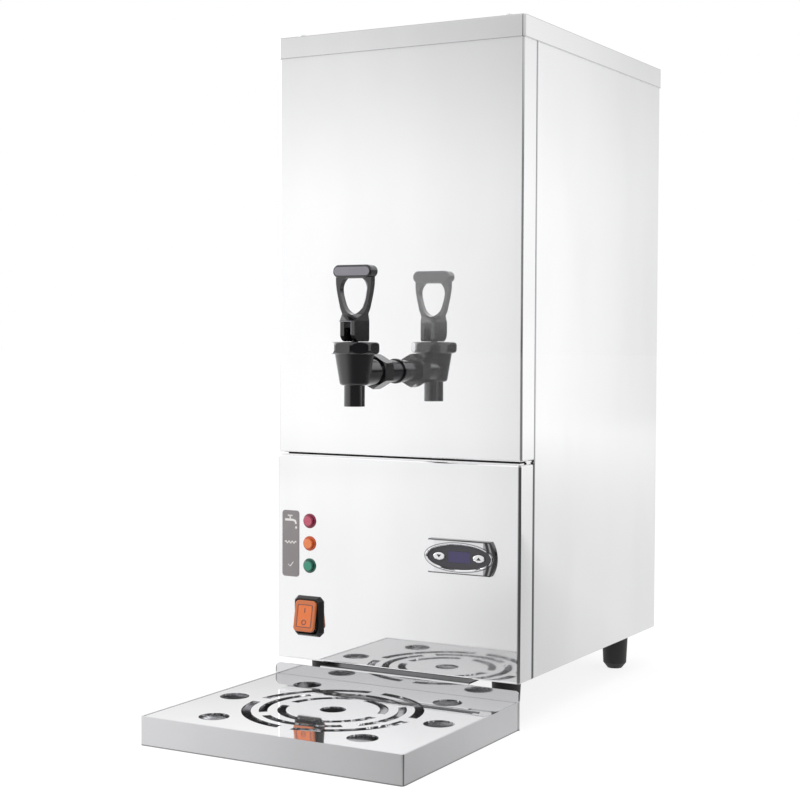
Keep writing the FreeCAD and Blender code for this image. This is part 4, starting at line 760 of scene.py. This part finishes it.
def booth_level(graph, heading, depth=BOOTH_DEPTH):
    """How bright the studio is by heading, in radians to the left of the user's side.

    The camera stands in a dark booth that begins in front of the part and ends beside it."""
    fade_in = 1.0 - graph.smooth(heading, math.radians(8.0), math.radians(33.5))
    fade_out = graph.smooth(heading, math.radians(-110.0), math.radians(-75.0))
    return 1.0 - depth * fade_in * fade_out


def rear_fade(graph, heading):
    """1 towards the studio's dimmer corner, behind the part on its right, and 0 elsewhere."""
    turned = 0.0 - heading
    return (graph.smooth(turned, math.radians(154.5), math.radians(161.0))
            * (1.0 - graph.smooth(turned, math.radians(168.0), math.radians(179.0))))


def add_world():
    """A white studio, dimmer overhead, with a dark booth and a bright panel on the left."""
    world = bpy.data.worlds.new("studio")
    bpy.context.scene.world = world
    graph = Graph(world)
    x, y, z = graph.split(graph.node("TexCoord", output="Generated"))
    heading = graph.math("ARCTAN2", 0.0 - x, 0.0 - y)
    rear = rear_fade(graph, heading)
    beside = graph.smooth(0.0 - heading, math.radians(90.0), math.radians(130.0))
    ceiling = graph.smooth(z, 0.07, 0.21) * (1.0 - graph.smooth(z, 0.185, 0.25))
    overhead = 1.0 - (0.35 - 0.17 * beside) * ceiling
    panel = (graph.smooth(heading, math.radians(48.0), math.radians(72.0))
             * (1.0 - graph.smooth(heading, math.radians(120.0), math.radians(140.0)))
             * (1.0 - graph.smooth(z, 0.45, 0.65)) * graph.smooth(z, -0.5, -0.3))
    right_side = 1.0 - graph.smooth(heading, math.radians(-25.0), math.radians(10.0))
    booth_depth = BOOTH_DEPTH - 0.75 * graph.smooth(z + 0.07 * right_side, 0.17, 0.27)
    level = (STUDIO_LEVEL * booth_level(graph, heading, booth_depth) * overhead
             * (1.0 - CORNER_DEPTH * rear) + PANEL_LEVEL * panel)
    camera, glossy = graph.ray_kinds()
    strength = camera + (1.0 - camera) * (glossy * level + (1.0 - glossy) * ROOM_LEVEL)
    shader = graph.node("Background", inputs={"Color": (1.0, 1.0, 1.0, 1.0), "Strength": strength})
    graph.node("OutputWorld", inputs={"Surface": shader})


def add_soft_lamp(name, place, aim, width, height, power):
    """A large soft lamp that looks at a point."""
    light = bpy.data.lights.new(name, "AREA")
    light.shape = "RECTANGLE"
    light.size = width
    light.size_y = height
    light.energy = power
    lamp = bpy.data.objects.new(name, light)
    lamp.location = place
    lamp.rotation_euler = (Vector(aim) - Vector(place)).to_track_quat("-Z", "Y").to_euler()
    lamp.visible_glossy = False
    bpy.context.scene.collection.objects.link(lamp)


def add_camera():
    """The camera that takes the photograph's view."""
    yaw, dip, roll = CAMERA_YAW, CAMERA_DIP, CAMERA_ROLL
    forward = Vector((-math.sin(yaw) * math.cos(dip), math.cos(yaw) * math.cos(dip),
                      -math.sin(dip)))
    right = Vector((math.cos(yaw), math.sin(yaw), 0.0))
    up = right.cross(forward)
    level_right = math.cos(roll) * right + math.sin(roll) * up
    level_up = -math.sin(roll) * right + math.cos(roll) * up
    data = bpy.data.cameras.new("camera")
    data.lens = CAMERA_LENS
    data.sensor_width = SENSOR_WIDTH
    camera = bpy.data.objects.new("camera", data)
    turn = Matrix((level_right, level_up, -forward)).transposed().to_4x4()
    camera.matrix_world = Matrix.Translation(CAMERA_PLACE) @ turn
    bpy.context.scene.collection.objects.link(camera)
    bpy.context.scene.camera = camera


dress_nodes()
seam_strip()
edge_highlights()
label_signs()
switch_signs()
arrow_sign("button_down", "down_button", -1)
arrow_sign("button_up", "up_button", 1)
add_floor()
add_world()
add_soft_lamp("left_lamp", (-1.6, -1.5, 1.2), (0.0, 0.0, 0.3), 1.2, 1.6, 14.0)
add_soft_lamp("top_lamp", (0.3, -0.5, 2.2), (0.0, 0.0, 0.2), 1.6, 1.2, 10.0)
add_camera()
bpy.context.scene.view_settings.view_transform = "Standard"
